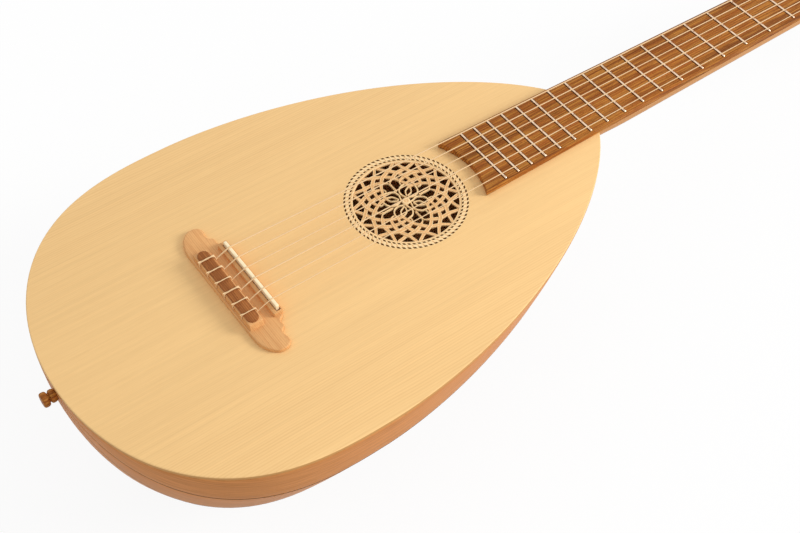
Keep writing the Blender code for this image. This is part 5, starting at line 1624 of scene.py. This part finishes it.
class LUTE_OT_stage(bpy.types.Operator):
    """Make the pale floor, the soft light and the camera."""
    bl_idname = "lute_guitar.stage"
    bl_label = "Stage"

    def execute(self, context):
        scene = context.scene
        scene.view_settings.view_transform = "Standard"
        self.make_floor(scene.lute_stage)
        self.make_world(scene)
        self.make_lamp(scene.lute_stage)
        self.make_camera(scene)
        return {"FINISHED"}

    def make_floor(self, sizes):
        """A wide floor whose shadow stays faint, as its camera rays are partly its own light."""
        made, tree, shader = new_material("floor_white")
        fill(tree, shader, Base_Color=opaque(sizes.floor), Roughness=0.9, Specular_IOR_Level=0.1)
        glow = node(tree, "ShaderNodeEmission", Color=(1, 1, 1, 1), Strength=FLOOR_GLOW)
        share = reckon(tree, "MULTIPLY", seen_rays(tree), FLOOR_GLOW_SHARE)
        mixed = node(tree, "ShaderNodeMixShader", _0=share, _1=shader.outputs[0], _2=glow.outputs[0])
        fill(tree, tree.nodes["Material Output"], Surface=mixed.outputs[0])
        points, faces = plate(circle(FLOOR_RADIUS, 64), [(0, -0.02), (0, -0.0002)])
        mesh = bpy.data.meshes.new("floor")
        mesh.from_pydata(points, [], faces)
        mesh.materials.append(made)
        placed("floor", mesh)

    def make_world(self, scene):
        """Even light from all sides, and pure white where it is seen."""
        world = bpy.data.worlds.new("surround")
        world.use_nodes = True
        tree = world.node_tree
        strength = spread(tree, seen_rays(tree), 0.0, 1.0, scene.lute_stage.surround, 1.0)
        fill(tree, tree.nodes["Background"], Color=(1, 1, 1, 1), Strength=strength)
        scene.world = world

    def make_lamp(self, sizes):
        """A square soft lamp aimed at the body."""
        data = bpy.data.lights.new("key_lamp", "AREA")
        data.size = LAMP_SIZE
        data.energy = sizes.key
        lamp = placed("key_lamp", data)
        lamp.location = ORIGIN + LAMP_PLACE
        lamp.rotation_euler = (LAMP_TARGET - LAMP_PLACE).to_track_quat("-Z", "Y").to_euler()

    def make_camera(self, scene):
        """The camera at the photograph's place."""
        data = bpy.data.cameras.new("camera")
        data.lens = CAMERA_LENS
        data.sensor_width = SENSOR_WIDTH
        data.clip_start = 0.01
        camera = placed("camera", data)
        back = -CAMERA_LOOK.normalized()
        right = (CAMERA_RIGHT - back * CAMERA_RIGHT.dot(back)).normalized()
        turn = Matrix((right, back.cross(right), back)).transposed()
        camera.matrix_world = Matrix.Translation(ORIGIN + CAMERA_PLACE) @ turn.to_4x4()
        scene.camera = camera


OPERATORS = (
    LUTE_OT_stage, LUTE_OT_soundboard, LUTE_OT_rosette, LUTE_OT_inlaid_rings, LUTE_OT_ribs, LUTE_OT_inside,
    LUTE_OT_end_button, LUTE_OT_bridge, LUTE_OT_inlay, LUTE_OT_saddle, LUTE_OT_neck, LUTE_OT_fingerboard,
    LUTE_OT_frets, LUTE_OT_nut, LUTE_OT_headstock, LUTE_OT_tuner_plates, LUTE_OT_rollers, LUTE_OT_knobs,
    LUTE_OT_strings,
)


class LUTE_PT_panel(bpy.types.Panel):
    """Lists the settings and what can be made."""
    bl_idname = "LUTE_PT_panel"
    bl_label = "Lute Guitar"
    bl_space_type = "VIEW_3D"
    bl_region_type = "UI"
    bl_category = "Lute Guitar"

    def draw(self, context):
        for name, group in SETTINGS.items():
            box = self.layout.box()
            box.label(text=group.__doc__)
            for key in group.__annotations__:
                box.prop(getattr(context.scene, name), key)
        column = self.layout.column()
        for operator in OPERATORS:
            column.operator(operator.bl_idname)


def register():
    """Registers the settings, operators and panel."""
    for name, group in SETTINGS.items():
        bpy.utils.register_class(group)
        setattr(bpy.types.Scene, name, bpy.props.PointerProperty(type=group))
    for operator in OPERATORS:
        bpy.utils.register_class(operator)
    bpy.utils.register_class(LUTE_PT_panel)


def unregister():
    """Takes back what register added."""
    bpy.utils.unregister_class(LUTE_PT_panel)
    for operator in reversed(OPERATORS):
        bpy.utils.unregister_class(operator)
    for name, group in SETTINGS.items():
        delattr(bpy.types.Scene, name)
        bpy.utils.unregister_class(group)


def main():
    """Makes every piece in order."""
    register()
    for operator in OPERATORS:
        made = getattr(bpy.ops.lute_guitar, operator.bl_idname.split(".")[1])()
        if made != {"FINISHED"}:
            raise RuntimeError(f"{operator.bl_label} was not made")
    bpy.context.view_layer.update()


if __name__ == "__main__":
    main()
